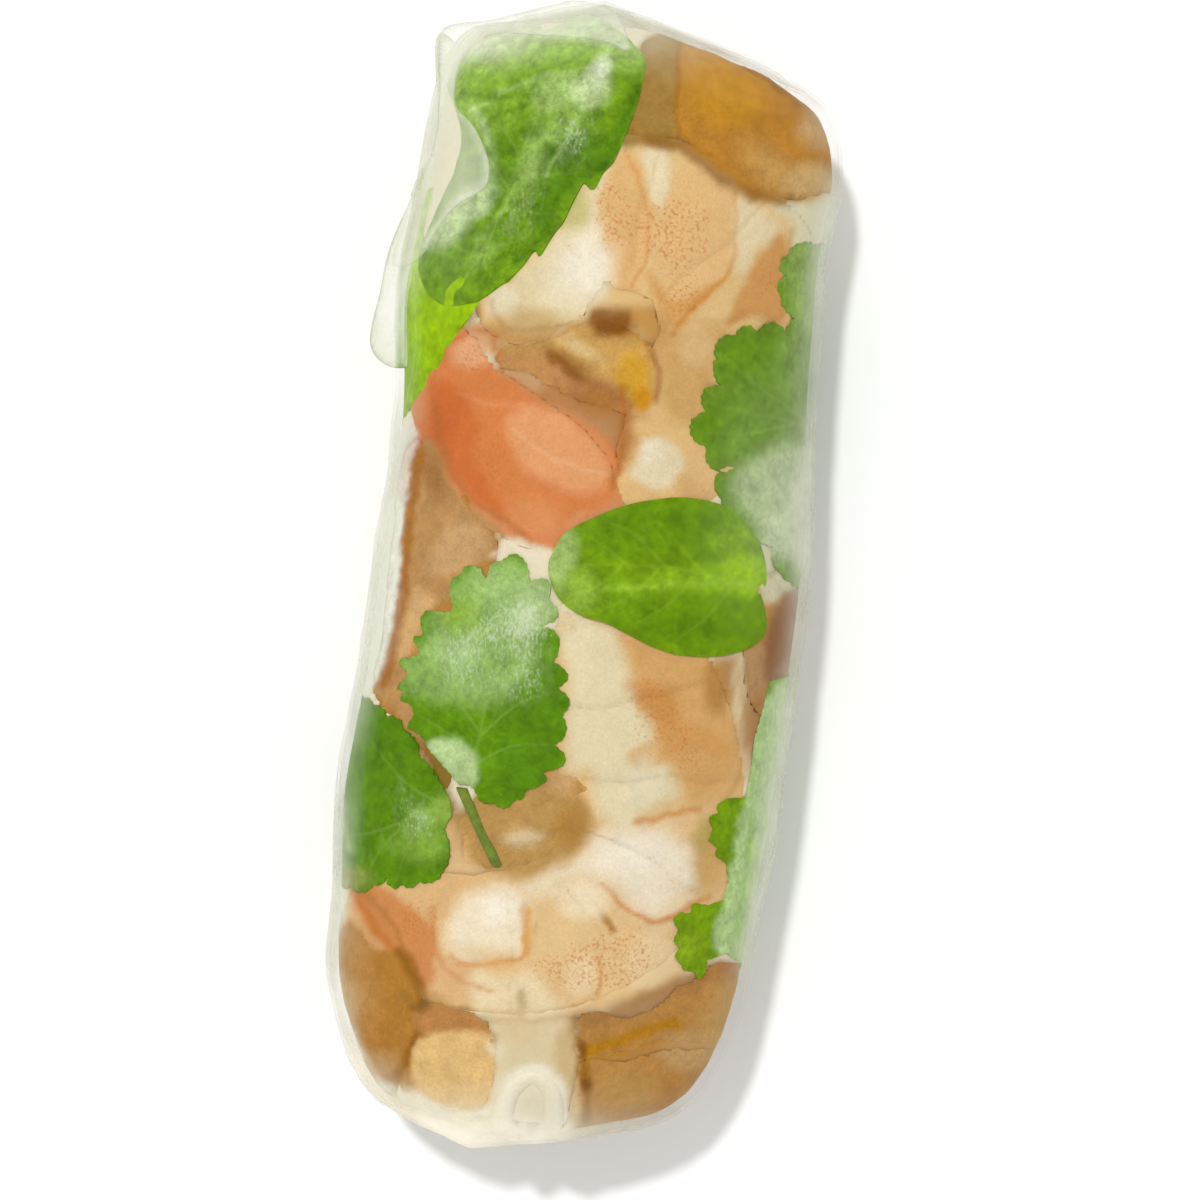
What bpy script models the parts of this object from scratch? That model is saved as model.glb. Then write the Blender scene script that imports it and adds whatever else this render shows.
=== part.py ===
"""A fresh rice paper roll: prawns, fried tofu and herbs on rice noodles, rolled in one sheet of wet rice paper.

The roll lies along Y on its flattened underside, +Z up. Its origin is the centre of its footprint.
Sizes are in millimetres, and place() turns them into Blender's metres.
A place in the roll is given as it would be on the unrolled sheet: u across the roll from the crown line,
positive towards +X, y along the roll, and the depth below the paper's outer face.
"""

import math

import bmesh
import bpy
from mathutils import Matrix

MM = 0.001

# The roll
HALF_LENGTH = 60.0
WAIST_HEIGHT = 15.0  # height of the widest line above the board
CROWN = 19.0  # from the widest line up to the top
BELLY = 15.6  # from the widest line down, cut off flat where the roll rests on the board
RIGHT_WIDTH = 22.2
LEFT_WIDTH = 20.6
UNROLL_RADIUS = 20.5  # turns a width on the unrolled sheet into an angle round the roll
TOP_END_SQUARENESS = 6.0
BOTTOM_END_SQUARENESS = 4.0
HEIGHT_SQUARENESS = 3.4
BELLY_FLATNESS = 0.7
TOP_END_SLANT = 0.16  # how far the end at +Y leans back on its right side

# The sheet of rice paper
PAPER = 0.6
PAPER_COLUMNS = 30
PAPER_ROWS = 28
LAP_ROOT = math.radians(-58)  # where the sheet leaves the roll to lap over itself
SLIT = math.radians(6)
LAP_END = math.radians(-104)
LAP_COLUMNS = 5
LAP_LIFT = 0.95  # outer face of the lap above the layer under it
LAP_ROWS = (-0.82, 0.94)  # the lap's two ends, as shares of the half length
FLAP_START = 21.0  # the loose flap of the lap runs from here to the end at +Y
FLAP_FLARE = 2.1

# Depths below the paper's outer face
LEAF_DEPTH = 1.2
UNDER_LEAF_DEPTH = 2.1
LEAF_THICKNESS = 0.5
FILLING_DEPTH = 3.0
NOODLE_DEPTH = 12.6
NOODLE_SIDE_DEPTH = 2.4

# name: (red, green, blue), roughness
FINISHES = {
    "rice_paper": ((0.86, 0.89, 0.80), 0.35),
    "rice_noodle": ((0.93, 0.92, 0.86), 0.45),
    "prawn": ((0.90, 0.62, 0.40), 0.40),
    "fried_tofu": ((0.60, 0.34, 0.11), 0.60),
    "mint": ((0.10, 0.30, 0.03), 0.50),
    "basil": ((0.14, 0.36, 0.03), 0.45),
    "coriander": ((0.10, 0.32, 0.04), 0.50),
    "lettuce": ((0.34, 0.58, 0.16), 0.45),
}


def clear_scene():
    for obj in list(bpy.data.objects):
        bpy.data.objects.remove(obj)


def finish(name):
    """The material of that name, made the first time it is asked for."""
    found = bpy.data.materials.get(name)
    if found:
        return found
    colour, roughness = FINISHES[name]
    made = bpy.data.materials.new(name)
    made.use_nodes = True
    shader = made.node_tree.nodes["Principled BSDF"]
    shader.inputs["Base Color"].default_value = (*colour, 1)
    shader.inputs["Roughness"].default_value = roughness
    shader.inputs["Metallic"].default_value = 0
    return made


def add_object(name, mesh_builder, finish_name):
    """Turns a bmesh, with its places in metres, into a smooth-shaded object."""
    bmesh.ops.recalc_face_normals(mesh_builder, faces=mesh_builder.faces)
    mesh = bpy.data.meshes.new(name)
    mesh_builder.to_mesh(mesh)
    mesh_builder.free()
    mesh.shade_smooth()
    mesh.set_sharp_from_angle(angle=math.radians(50))
    mesh.materials.append(finish(finish_name))
    obj = bpy.data.objects.new(name, mesh)
    bpy.context.scene.collection.objects.link(obj)
    return obj


def smooth_step(low, high, value):
    share = min(1.0, max(0.0, (value - low) / (high - low)))
    return share * share * (3 - 2 * share)


def bump(value, centre, width):
    return math.exp(-(((value - centre) / width) ** 2))


def half_width(y, side):
    """Half the roll's width at y, on the right for side +1 and on the left for -1."""
    if side > 0:
        return RIGHT_WIDTH + 1.4 * bump(y, 0, 18) + 0.5 * bump(y, -30, 8)
    return LEFT_WIDTH + 2.0 * bump(y, 26, 10) + 2.0 * bump(y, -25, 12)


def rounded(share, squareness):
    """How much of its full size the roll has at this share of its half length."""
    return max(0.0, 1 - abs(share) ** squareness) ** (1 / squareness)


def roll_point(angle, share, depth):
    """A point at this angle from the crown, share of the half length, and depth under the paper's outer face."""
    y = share * (HALF_LENGTH - depth)
    across, up = math.sin(angle), math.cos(angle)
    wide = rounded(share, TOP_END_SQUARENESS if share > 0 else BOTTOM_END_SQUARENESS)
    tall = rounded(share, HEIGHT_SQUARENESS)
    x = (half_width(y, across) - depth) * wide * across
    if up >= 0:
        z = WAIST_HEIGHT + (CROWN - depth) * tall * up
    else:
        z = WAIST_HEIGHT - (BELLY - depth) * tall * abs(up) ** BELLY_FLATNESS
        z = max(z, depth)
    y -= TOP_END_SLANT * x * smooth_step(20, HALF_LENGTH, y)
    return x, y, z


def place(point):
    return tuple(value * MM for value in point)


def sheet_point(u, y, depth):
    """A point of the filling, given by its place on the unrolled sheet."""
    return roll_point(u / UNROLL_RADIUS, y / HALF_LENGTH, depth)


def quads(builder, low, high, closed=True):
    """Faces between two equally long rows of vertices."""
    count = len(low)
    for i in range(count if closed else count - 1):
        j = (i + 1) % count
        builder.faces.new((low[i], low[j], high[j], high[i]))


def fan(builder, ring, tip):
    for i, vertex in enumerate(ring):
        builder.faces.new((vertex, ring[(i + 1) % len(ring)], tip))


# The sheet of rice paper


def flap_flare(y):
    """How far the loose flap stands off the roll at its free edge."""
    if y < FLAP_START - 1:
        return 0.5 * bump(y, 2, 12)
    return FLAP_FLARE * (1 - 0.6 * smooth_step(FLAP_START, HALF_LENGTH, y))


def lap_row(builder, root, share):
    """The vertices of the lap at one station, from its root to its free edge."""
    row = [root]
    for k in range(LAP_COLUMNS):
        part = k / (LAP_COLUMNS - 1)
        angle = LAP_ROOT - SLIT / 2 + part * (LAP_END - LAP_ROOT + SLIT / 2)
        lift = LAP_LIFT + flap_flare(share * HALF_LENGTH) * part**1.5
        row.append(builder.verts.new(place(roll_point(angle, share, -lift))))
    return row


def build_wrapper():
    """One sheet of paper closed round the filling: a slit lies under the lap, so its inside is open."""
    builder = bmesh.new()
    shares = [math.sin(math.pi / 2 * (2 * i / PAPER_ROWS - 1)) for i in range(1, PAPER_ROWS)]
    turn = (2 * math.pi - SLIT) / (PAPER_COLUMNS - 1)
    angles = [LAP_ROOT + turn * j for j in range(PAPER_COLUMNS)]
    rows = [
        [builder.verts.new(place(roll_point(angle, share, 0))) for angle in angles]
        for share in shares
    ]
    slit_rows = [LAP_ROWS[0] <= share <= LAP_ROWS[1] for share in shares]
    for i in range(len(rows) - 1):
        slit_open = slit_rows[i] and slit_rows[i + 1]
        quads(builder, rows[i], rows[i + 1], closed=not slit_open)
    for row, share in ((rows[0], -1), (rows[-1], 1)):
        fan(builder, row, builder.verts.new(place(roll_point(0, share, 0))))
    laps = [lap_row(builder, row[0], s) for row, s, cut in zip(rows, shares, slit_rows) if cut]
    for low, high in zip(laps, laps[1:]):
        quads(builder, low, high, closed=False)
    wrapper = add_object("wrapper", builder, "rice_paper")
    wall = wrapper.modifiers.new("paper", "SOLIDIFY")
    wall.thickness = PAPER * MM
    wall.offset = -1
    return wrapper


# The noodles


def noodle_depth(angle):
    """The noodles lie deep under the prawns and tofu, and just inside the paper on the underside."""
    under = smooth_step(math.radians(72), math.radians(112), abs(angle))
    return NOODLE_DEPTH + (NOODLE_SIDE_DEPTH - NOODLE_DEPTH) * under


def build_noodles(columns=24, rows=18):
    builder = bmesh.new()
    rings = []
    for i in range(1, rows):
        share = math.sin(math.pi / 2 * (2 * i / rows - 1))
        ring = []
        for j in range(columns):
            angle = math.pi * (2 * j / columns - 1)
            strands = 0.35 * math.sin(5 * angle + 9 * share) * math.sin(13 * share)
            depth = noodle_depth(angle) + strands
            ring.append(builder.verts.new(place(roll_point(angle, share, depth))))
        rings.append(ring)
    for low, high in zip(rings, rings[1:]):
        quads(builder, low, high)
    for ring, share in ((rings[0], -1), (rings[-1], 1)):
        fan(builder, ring, builder.verts.new(place(roll_point(0, share, NOODLE_SIDE_DEPTH + 1))))
    return add_object("noodle_bundle", builder, "rice_noodle")


# Prawns: a curled, tapering body of overlapping segments


def spline(points, count):
    """Evenly counted points on a smooth curve through these ones."""
    ends = [points[0], *points, points[-1]]
    found = []
    for i in range(count):
        place_on = i / (count - 1) * (len(points) - 1)
        k = min(int(place_on), len(points) - 2)
        t = place_on - k
        a, b, c, d = ends[k : k + 4]
        found.append(
            tuple(
                0.5
                * (
                    2 * q
                    + (r - p) * t
                    + (2 * p - 5 * q + 4 * r - s) * t * t
                    + (3 * q - p - 3 * r + s) * t**3
                )
                for p, q, r, s in zip(a, b, c, d)
            )
        )
    return found


def prawn_girth(share, segments, tail):
    """The body's half width, as a share of its widest, with a step at each segment."""
    taper = 1 - (1 - tail) * share**1.5
    ends = rounded(2 * share - 1, 5)
    step = 0.07 * (1 - (share * segments) % 1)
    return (taper * (0.93 + step)) * ends


def build_prawn(name, path, half_thick, segments, tail=0.45, sides=12, stations=19):
    """path holds (u, y, half width) along the body, from its thick end to its tail."""
    builder = bmesh.new()
    line = spline(path, stations)
    middle = FILLING_DEPTH + half_thick
    rings = []
    for i, (u, y, wide) in enumerate(line[1:-1], start=1):
        before, after = line[i - 1], line[i + 1]
        run, rise = after[0] - before[0], after[1] - before[1]
        size = math.hypot(run, rise)
        girth = prawn_girth(i / (stations - 1), segments, tail)
        ring = []
        for j in range(sides):
            turn = 2 * math.pi * j / sides
            side = wide * girth * math.cos(turn)
            depth = middle - half_thick * min(1.0, 1.15 * girth) * math.sin(turn)
            at = sheet_point(u - side * rise / size, y + side * run / size, depth)
            ring.append(builder.verts.new(place(at)))
        rings.append(ring)
    for low, high in zip(rings, rings[1:]):
        quads(builder, low, high)
    for ring, (u, y, _) in ((rings[0], line[0]), (rings[-1], line[-1])):
        fan(builder, ring, builder.verts.new(place(sheet_point(u, y, middle))))
    return add_object(name, builder, "prawn")


# Tofu and leaves: outlines drawn round a centre, and laid under the paper


def lay_shape(name, finish_name, centre, reach, rings, sides):
    """A closed solid from rings of (share of the outline's reach, depth), from its upper to its lower face."""
    builder = bmesh.new()
    rows = []
    for share, depth in rings[1:-1]:
        row = []
        for j in range(sides):
            turn = 2 * math.pi * j / sides
            out = share * reach(turn)
            u, y = centre[0] + out * math.cos(turn), centre[1] + out * math.sin(turn)
            row.append(builder.verts.new(place(sheet_point(u, y, depth))))
        rows.append(row)
    for low, high in zip(rows, rows[1:]):
        quads(builder, low, high)
    for row, (_, depth) in ((rows[0], rings[0]), (rows[-1], rings[-1])):
        fan(builder, row, builder.verts.new(place(sheet_point(*centre, depth))))
    return add_object(name, builder, finish_name)


def box_reach(length, width, lean, squareness=7.0):
    """The outline of a slab with rounded corners, its length at the angle lean."""

    def reach(turn):
        along = abs(math.cos(turn - lean)) / (length / 2)
        across = abs(math.sin(turn - lean)) / (width / 2)
        return (along**squareness + across**squareness) ** (-1 / squareness)

    return reach


def leaf_reach(length, width, lean, teeth, tooth_depth, squareness=2.2):
    """An oval leaf with rounded teeth round its edge."""
    oval = box_reach(length, width, lean, squareness)

    def reach(turn):
        tooth = abs(math.sin(teeth * (turn - lean) / 2))
        return oval(turn) * (1 - tooth_depth * (1 - tooth))

    return reach


def build_tofu(name, centre, length, width, lean, thickness, top=FILLING_DEPTH, sides=16):
    low = top + thickness
    edge = 0.9  # the fried skin's rounded edge
    rings = (
        (0, top), (0.5, top), (0.93, top), (1, top + edge),
        (1, low - edge), (0.93, low), (0.5, low), (0, low),
    )
    reach = box_reach(length, width, math.radians(lean))
    return lay_shape(name, "fried_tofu", centre, reach, rings, sides)


def build_leaf(name, finish_name, centre, length, width, lean, teeth, tooth_depth, depth, sides):
    low = depth + LEAF_THICKNESS
    rings = ((0, depth), (0.55, depth), (1, depth), (1, low), (0.55, low), (0, low))
    reach = leaf_reach(length, width, math.radians(lean), teeth, tooth_depth)
    return lay_shape(name, finish_name, centre, reach, rings, sides)


def build_stem(name, finish_name, path, radius, depth, sides=6):
    """A round stalk along a path of (u, y) places."""
    builder = bmesh.new()
    rings = []
    for i, (u, y) in enumerate(path):
        before, after = path[max(0, i - 1)], path[min(len(path) - 1, i + 1)]
        run, rise = after[0] - before[0], after[1] - before[1]
        size = math.hypot(run, rise)
        ring = []
        for j in range(sides):
            turn = 2 * math.pi * j / sides
            side = radius * math.cos(turn)
            at = sheet_point(u - side * rise / size, y + side * run / size, depth + radius * math.sin(turn))
            ring.append(builder.verts.new(place(at)))
        rings.append(ring)
    for low, high in zip(rings, rings[1:]):
        quads(builder, low, high)
    builder.faces.new(rings[0])
    builder.faces.new(rings[-1])
    return add_object(name, builder, finish_name)


def unite(target, *others):
    """Joins the others into the target as one solid, and hides them."""
    for other in others:
        union = target.modifiers.new(other.name, "BOOLEAN")
        union.operation = "UNION"
        union.solver = "EXACT"
        union.object = other
        other.hide_render = True
        other.display_type = "WIRE"
    return target


def build_prawns():
    build_prawn(
        "prawn_top",
        [(-9.5, 29.0, 7.0), (-5.0, 36.5, 8.2), (3.5, 37.8, 8.4), (12.0, 34.0, 8.8), (14.6, 24.5, 8.4), (8.5, 15.5, 6.6)],
        4.4,
        segments=6,
        tail=0.85,
    )
    build_prawn(
        "prawn_middle",
        [(0.5, 7.4, 6.2), (-5.5, 10.4, 7.1), (-12.0, 14.4, 6.9), (-17.6, 21.4, 5.0)],
        4.2,
        segments=3,
        tail=0.9,
        stations=13,
    )
    build_prawn(
        "prawn_bottom",
        [(6.8, -8.8, 7.4), (10.5, -17.5, 9.4), (11.0, -27.0, 9.6), (4.5, -35.2, 8.4), (-6.0, -38.2, 7.6), (-17.5, -37.4, 5.4)],
        4.4,
        segments=6,
        tail=0.95,
    )


def build_tofu_pieces():
    build_tofu("tofu_top", (11.6, 50.6), 24.0, 11.4, -22, 7.0)
    build_tofu("tofu_left", (-20.9, -3.2), 29.0, 9.2, 90, 6.0)
    build_tofu("tofu_centre", (-3.0, 21.8), 13.0, 5.6, -26, 6.0, top=FILLING_DEPTH + 1.2)
    build_tofu("tofu_right", (27.0, -6.0), 15.0, 8.0, 84, 5.0)
    build_tofu("tofu_inner", (-5.8, -24.4), 11.5, 6.0, 68, 6.0, top=FILLING_DEPTH + 1.0)
    build_tofu("tofu_lower_left", (-19.4, -50.0), 16.0, 8.2, 106, 6.0)
    build_tofu("tofu_end_left", (-8.8, -52.6), 11.4, 8.8, 94, 6.0)
    build_tofu("tofu_lower_right", (14.4, -47.4), 19.0, 7.0, 18, 6.0)
    build_tofu("tofu_end_right", (12.2, -55.2), 12.5, 5.4, 18, 5.0)


def build_herbs():
    build_leaf("mint_leaf", "mint", (-11.0, 43.4), 32.0, 16.0, 60, 17, 0.06, LEAF_DEPTH, 34)
    build_leaf("lettuce_left", "lettuce", (-26.0, 28.0), 26.0, 12.0, 86, 9, 0.08, UNDER_LEAF_DEPTH, 26)
    build_leaf("basil_leaf", "basil", (8.4, 1.2), 22.8, 16.0, -2, 1, 0.0, LEAF_DEPTH, 26)
    build_leaf("coriander_right", "coriander", (22.0, 20.8), 32.0, 23.0, 98, 13, 0.15, UNDER_LEAF_DEPTH, 39)
    build_leaf("lettuce_right", "lettuce", (25.6, -25.0), 30.0, 17.0, 84, 11, 0.13, UNDER_LEAF_DEPTH, 33)
    sprig = build_leaf(
        "coriander_sprig", "coriander", (-8.9, -12.0), 26.4, 18.0, 102, 14, 0.14, LEAF_DEPTH, 42
    )
    second = build_leaf(
        "sprig_second_leaf", "coriander", (-20.0, -25.4), 20.0, 17.0, 110, 11, 0.12, LEAF_DEPTH + 0.1, 33
    )
    stalk = build_stem(
        "sprig_stalk",
        "coriander",
        [(-12.6, -21.0), (-11.2, -25.0), (-8.4, -28.2), (-6.0, -31.4)],
        0.62,
        LEAF_DEPTH + 0.3,
    )
    unite(sprig, second, stalk)


def centre_footprint(wrapper):
    """Moves every piece so that the origin is the centre of the box round the wrapper."""
    corners = wrapper.evaluated_get(bpy.context.evaluated_depsgraph_get()).bound_box
    x = (min(c[0] for c in corners) + max(c[0] for c in corners)) / 2
    y = (min(c[1] for c in corners) + max(c[1] for c in corners)) / 2
    for obj in bpy.data.objects:
        obj.data.transform(Matrix.Translation((-x, -y, 0)))


def main():
    clear_scene()
    wrapper = build_wrapper()
    build_noodles()
    build_prawns()
    build_tofu_pieces()
    build_herbs()
    centre_footprint(wrapper)


main()
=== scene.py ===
import math

import bpy
import numpy as np
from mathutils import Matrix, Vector, noise


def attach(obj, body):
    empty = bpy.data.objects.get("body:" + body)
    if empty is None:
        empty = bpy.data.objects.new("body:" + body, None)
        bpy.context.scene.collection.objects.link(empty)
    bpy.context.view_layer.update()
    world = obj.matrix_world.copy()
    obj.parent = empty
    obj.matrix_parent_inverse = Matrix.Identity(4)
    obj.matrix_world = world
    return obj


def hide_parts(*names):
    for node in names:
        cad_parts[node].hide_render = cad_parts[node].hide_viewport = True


# Looks of a fresh rice paper roll: prawns, fried tofu and herbs pressed against a wet rice paper skin.
# Sizes are in millimetres until place() turns them into metres.
# Plan places are (x, y) seen from above.
# Sheet places are (u, y) on the unrolled paper, u measured from the crown.

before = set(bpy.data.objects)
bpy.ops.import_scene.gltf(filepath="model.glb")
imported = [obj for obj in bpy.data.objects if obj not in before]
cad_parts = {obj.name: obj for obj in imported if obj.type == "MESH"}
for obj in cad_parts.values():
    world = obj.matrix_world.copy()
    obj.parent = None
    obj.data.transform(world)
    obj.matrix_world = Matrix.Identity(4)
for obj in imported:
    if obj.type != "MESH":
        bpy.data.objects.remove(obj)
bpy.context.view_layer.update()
print("roll frame loaded")

millimetre = 0.001
roll = {
    "shift": (0.6, -0.77),  # from the drawing's origin to the middle of the footprint
    "unrollRadius": 20.5,
    "waist": 15.0,
    "crown": 19.0,
    "belly": 15.6,
    "heightSquareness": 3.4,
    "pull": 0.52,  # how much closer the paper is drawn over the shoulders and ends
    "topEnd": ((-1.0, 56.6), (-0.8, 57.4), (-0.5, 58.9), (-0.25, 60.0), (0.05, 58.7), (0.5, 56.8),
        (0.8, 55.3), (1.0, 53.2)),
    "bottomEnd": ((-1.0, 58.5), (-0.7, 60.0), (-0.45, 60.7), (0.0, 59.6), (0.35, 59.4), (0.6, 58.6),
        (1.0, 57.5)),
}


def bump(value, middle, width):
    return np.exp(-(((value - middle) / width) ** 2))


def smoothStep(low, high, value):
    share = np.clip((value - low) / (high - low), 0, 1)
    return share * share * (3 - 2 * share)


def halfWidth(y, side):
    right = 22.1 + 1.5 * bump(y, 0, 17) + 0.7 * bump(y, -22, 12)
    right = right + 0.5 * smoothStep(-32, -46, y) + 1.3 * smoothStep(34, 46, y)
    left = 20.7 + 1.2 * bump(y, 28, 9) + 0.9 * bump(y, -4, 12) + 2.2 * bump(y, -26, 13) + 1.5 * bump(y, -44,
        8)
    return np.where(side > 0, right, left)


def rounded(share, squareness):
    return np.maximum(0, 1 - np.abs(share) ** squareness) ** (1 / squareness)


def endLength(side, y):
    top = np.interp(side, *zip(*roll["topEnd"]))
    bottom = np.interp(side, *zip(*roll["bottomEnd"]))
    return np.where(y > 0, top, bottom)


def endSquareness(side, y):
    return np.where(y > 0, 9.0, np.where(side < 0, 6.0, 4.6))


def onRoll(u, y, depth):
    # a sheet place at this depth under the paper's outer face, as x, y, z
    angle = u / roll["unrollRadius"]
    side, up = np.sin(angle), np.cos(angle)
    end = endLength(side, y)
    share = np.clip(y / end, -0.9995, 0.9995)
    x = (halfWidth(y, side) - depth) * rounded(share, endSquareness(side, y)) * side
    tall = rounded(share, roll["heightSquareness"])
    above = roll["waist"] + (roll["crown"] - depth) * tall * up
    below = roll["waist"] - (roll["belly"] - depth) * tall * np.abs(up) ** 0.7
    z = np.where(up >= 0, above, np.maximum(below, np.maximum(depth, 0)))
    return np.stack([x, share * (end - depth), z], axis=1)


def unrolled(points, depth=0.6):
    # plan places to sheet places; what lies past the roll's outline goes on down its side
    points = np.array(points, float)
    x, y = points[:, 0], points[:, 1]
    wide = halfWidth(y, x)
    end = endLength(x / wide, y)
    flat = np.clip(y / (end - depth), -0.97, 0.97)
    reach = (wide - depth) * rounded(flat, endSquareness(x, y))
    over = np.maximum(0, np.abs(x) - reach)
    u = roll["unrollRadius"] * np.arcsin(np.clip(np.abs(x) / reach, 0, 1)) + over
    points = points.copy()
    points[:, 0] = np.sign(x) * u
    points[:, 1] = y * end / (end - depth)
    return points


def place(points):
    return (points + np.array([*roll["shift"], 0.0])) * millimetre


def noiseAt(points, size, seed=0):
    # smooth noise from -1 to 1 over points in millimetres, with lumps about this big
    offset = Vector((seed * 7.3, seed * 3.1, seed * 5.7))
    return np.array([noise.noise(Vector(p) / size + offset) for p in points.tolist()])


def flatNoise(sheet, size, seed=0):
    return noiseAt(np.c_[sheet, np.zeros(len(sheet))], size, seed)


# outlines

def smoothCurve(points, count, closed=True):
    # Catmull-Rom through the points
    points = np.array(points, float)
    n = len(points)
    spans = n if closed else n - 1
    t = np.linspace(0, spans, count, endpoint=not closed)
    k = np.minimum(t.astype(int), spans - 1)
    f = (t - k)[:, None]
    pick = (lambda i: points[i % n]) if closed else (lambda i: points[np.clip(i, 0, n - 1)])
    a, b, c, d = pick(k - 1), pick(k), pick(k + 1), pick(k + 2)
    return 0.5 * (2 * b + (c - a) * f + (2 * a - 5 * b + 4 * c - d) * f**2 + (3 * b - a - 3 * c + d) * f**3)


def scalloped(notches, steps=7):
    # rounded teeth between notches given clockwise as x, y and the next tooth's bulge, a share of its length
    line = []
    for i, (x, y, bulge) in enumerate(notches):
        nextX, nextY = notches[(i + 1) % len(notches)][:2]
        runX, runY = nextX - x, nextY - y
        for k in range(steps):
            t = k / steps
            out = bulge * (4 * t * (1 - t)) ** 0.6
            line.append((x + t * runX - out * runY, y + t * runY + out * runX))
    return np.array(line)


def toothed(line, length=0.8, depth=0.22):
    # fine teeth along an outline
    run = np.roll(line, -1, axis=0) - line
    gone = np.concatenate([[0], np.cumsum(np.linalg.norm(run, axis=1))])
    count = int(gone[-1] / 0.2)
    at = np.linspace(0, gone[-1], count, endpoint=False)
    closed = np.vstack([line, line[:1]])
    dense = np.stack([np.interp(at, gone, closed[:, k]) for k in (0, 1)], axis=1)
    heading = np.roll(dense, -1, axis=0) - np.roll(dense, 1, axis=0)
    heading /= np.linalg.norm(heading, axis=1)[:, None]
    uneven = flatNoise(dense, 1.5, 61)
    tooth = depth * (1 - 2 * np.abs((at / length + 0.6 * uneven) % 1 - 0.5)) * (1 + uneven)
    return dense + tooth[:, None] * np.stack([-heading[:, 1], heading[:, 0]], axis=1)


def ribbon(path, count=60):
    # the outline of a band along a path of x, y and half width, its ends rounded
    line = smoothCurve(path, count, closed=False)
    run = np.gradient(line[:, :2], axis=0)
    run /= np.linalg.norm(run, axis=1)[:, None]
    across = np.stack([-run[:, 1], run[:, 0]], axis=1)
    wide = line[:, 2:3]
    turns = np.linspace(0, math.pi, 13)[1:-1][:, None]
    tip = line[-1, :2] + wide[-1] * 0.8 * (np.cos(turns) * across[-1] + np.sin(turns) * run[-1])
    tail = line[0, :2] + wide[0] * 0.8 * (-np.cos(turns) * across[0] - np.sin(turns) * run[0])
    left = line[:, :2] + across * wide
    right = line[:, :2] - across * wide
    return np.concatenate([left, tip, right[::-1], tail])


def nearest(points, outline):
    # signed distance to the outline, negative inside, and the nearest place on it
    start, run = outline, np.roll(outline, -1, axis=0) - outline
    length2 = np.maximum((run**2).sum(1), 1e-12)
    distance, spots, inside = [], [], []
    for part in np.array_split(points, max(1, len(points) // 3000)):
        gap = part[:, None, :] - start[None]
        t = np.clip((gap * run[None]).sum(2) / length2, 0, 1)
        spot = start[None] + t[..., None] * run[None]
        far2 = ((part[:, None, :] - spot) ** 2).sum(2)
        best = far2.argmin(1)
        row = np.arange(len(part))
        distance.append(np.sqrt(far2[row, best]))
        spots.append(spot[row, best])
        crosses = (start[None, :, 1] > part[:, None, 1]) != ((start + run)[None, :, 1] > part[:, None, 1])
        steep = np.where(np.abs(run[:, 1]) < 1e-9, 1e-9, run[:, 1])
        at = start[None, :, 0] + (part[:, None, 1] - start[None, :, 1]) / steep * run[None, :, 0]
        inside.append((crosses & (part[:, None, 0] < at)).sum(1) % 2 == 1)
    distance = np.concatenate(distance)
    return np.where(np.concatenate(inside), -distance, distance), np.concatenate(spots)


def pathDistance(points, path):
    # distance to an open path, and how far along it, from 0 to 1, and the side
    path = np.array(path, float)[:, :2]
    start, run = path[:-1], path[1:] - path[:-1]
    length = np.linalg.norm(run, axis=1)
    before = np.concatenate([[0], np.cumsum(length)[:-1]])
    gap = points[:, None, :] - start[None]
    t = np.clip((gap * run[None]).sum(2) / np.maximum(length**2, 1e-12), 0, 1)
    spot = start[None] + t[..., None] * run[None]
    far2 = ((points[:, None, :] - spot) ** 2).sum(2)
    best = far2.argmin(1)
    row = np.arange(len(points))
    along = (before[best] + t[row, best] * length[best]) / length.sum()
    side = np.sign(run[best, 0] * gap[row, best, 1] - run[best, 1] * gap[row, best, 0])
    return np.sqrt(far2[row, best]), along, side


def pressed(u, y, depth):
    # the paper is pulled tightest over the shoulders and ends, so everything lies closer to it there
    angle = np.abs(u) / roll["unrollRadius"]
    share = np.abs(y) / endLength(np.sin(u / roll["unrollRadius"]), y)
    tight = np.maximum(smoothStep(0.75, 1.2, angle) * smoothStep(2.2, 1.7, angle),
        smoothStep(0.86, 0.96, share))
    return depth * (1 - roll["pull"] * tight)


# what lies nearest the paper, as its sheet outline and the depth of its lower face
leafCovers, fillingCovers = [], []


def tuckUnder(sheet, depth, covers, rise, fall):
    # pushes depths below the covers: fully at fall from their outline, not at all at rise
    depth = np.array(depth, float)
    for line, bottom in covers:
        low, high = line.min(0) - 1, line.max(0) + 1
        near = np.flatnonzero(((sheet > low) & (sheet < high)).all(1))
        if len(near):
            far = nearest(sheet[near], line)[0]
            depth[near] = np.maximum(depth[near], bottom * smoothStep(rise, fall, far))
    return depth


# mesh work

def deselectAll():
    if bpy.context.mode != "OBJECT":
        bpy.ops.object.mode_set(mode="OBJECT")
    bpy.ops.object.select_all(action="DESELECT")


def getPoints(obj):
    points = np.zeros(len(obj.data.vertices) * 3)
    obj.data.vertices.foreach_get("co", points)
    return points.reshape(-1, 3)


def setPoints(obj, points):
    obj.data.vertices.foreach_set("co", np.ascontiguousarray(points, float).ravel())
    obj.data.update()


def selectFaces(obj, chosen):
    obj.data.vertices.foreach_set("select", np.zeros(len(obj.data.vertices), bool))
    obj.data.edges.foreach_set("select", np.zeros(len(obj.data.edges), bool))
    obj.data.polygons.foreach_set("select", chosen)


def selectOnly(obj):
    deselectAll()
    obj.select_set(True)
    bpy.context.view_layer.objects.active = obj


def applyModifier(obj, kind, **settings):
    selectOnly(obj)
    modifier = obj.modifiers.new(kind.lower(), kind)
    for name, value in settings.items():
        setattr(modifier, name, value)
    bpy.ops.object.modifier_apply(modifier=modifier.name)


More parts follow.
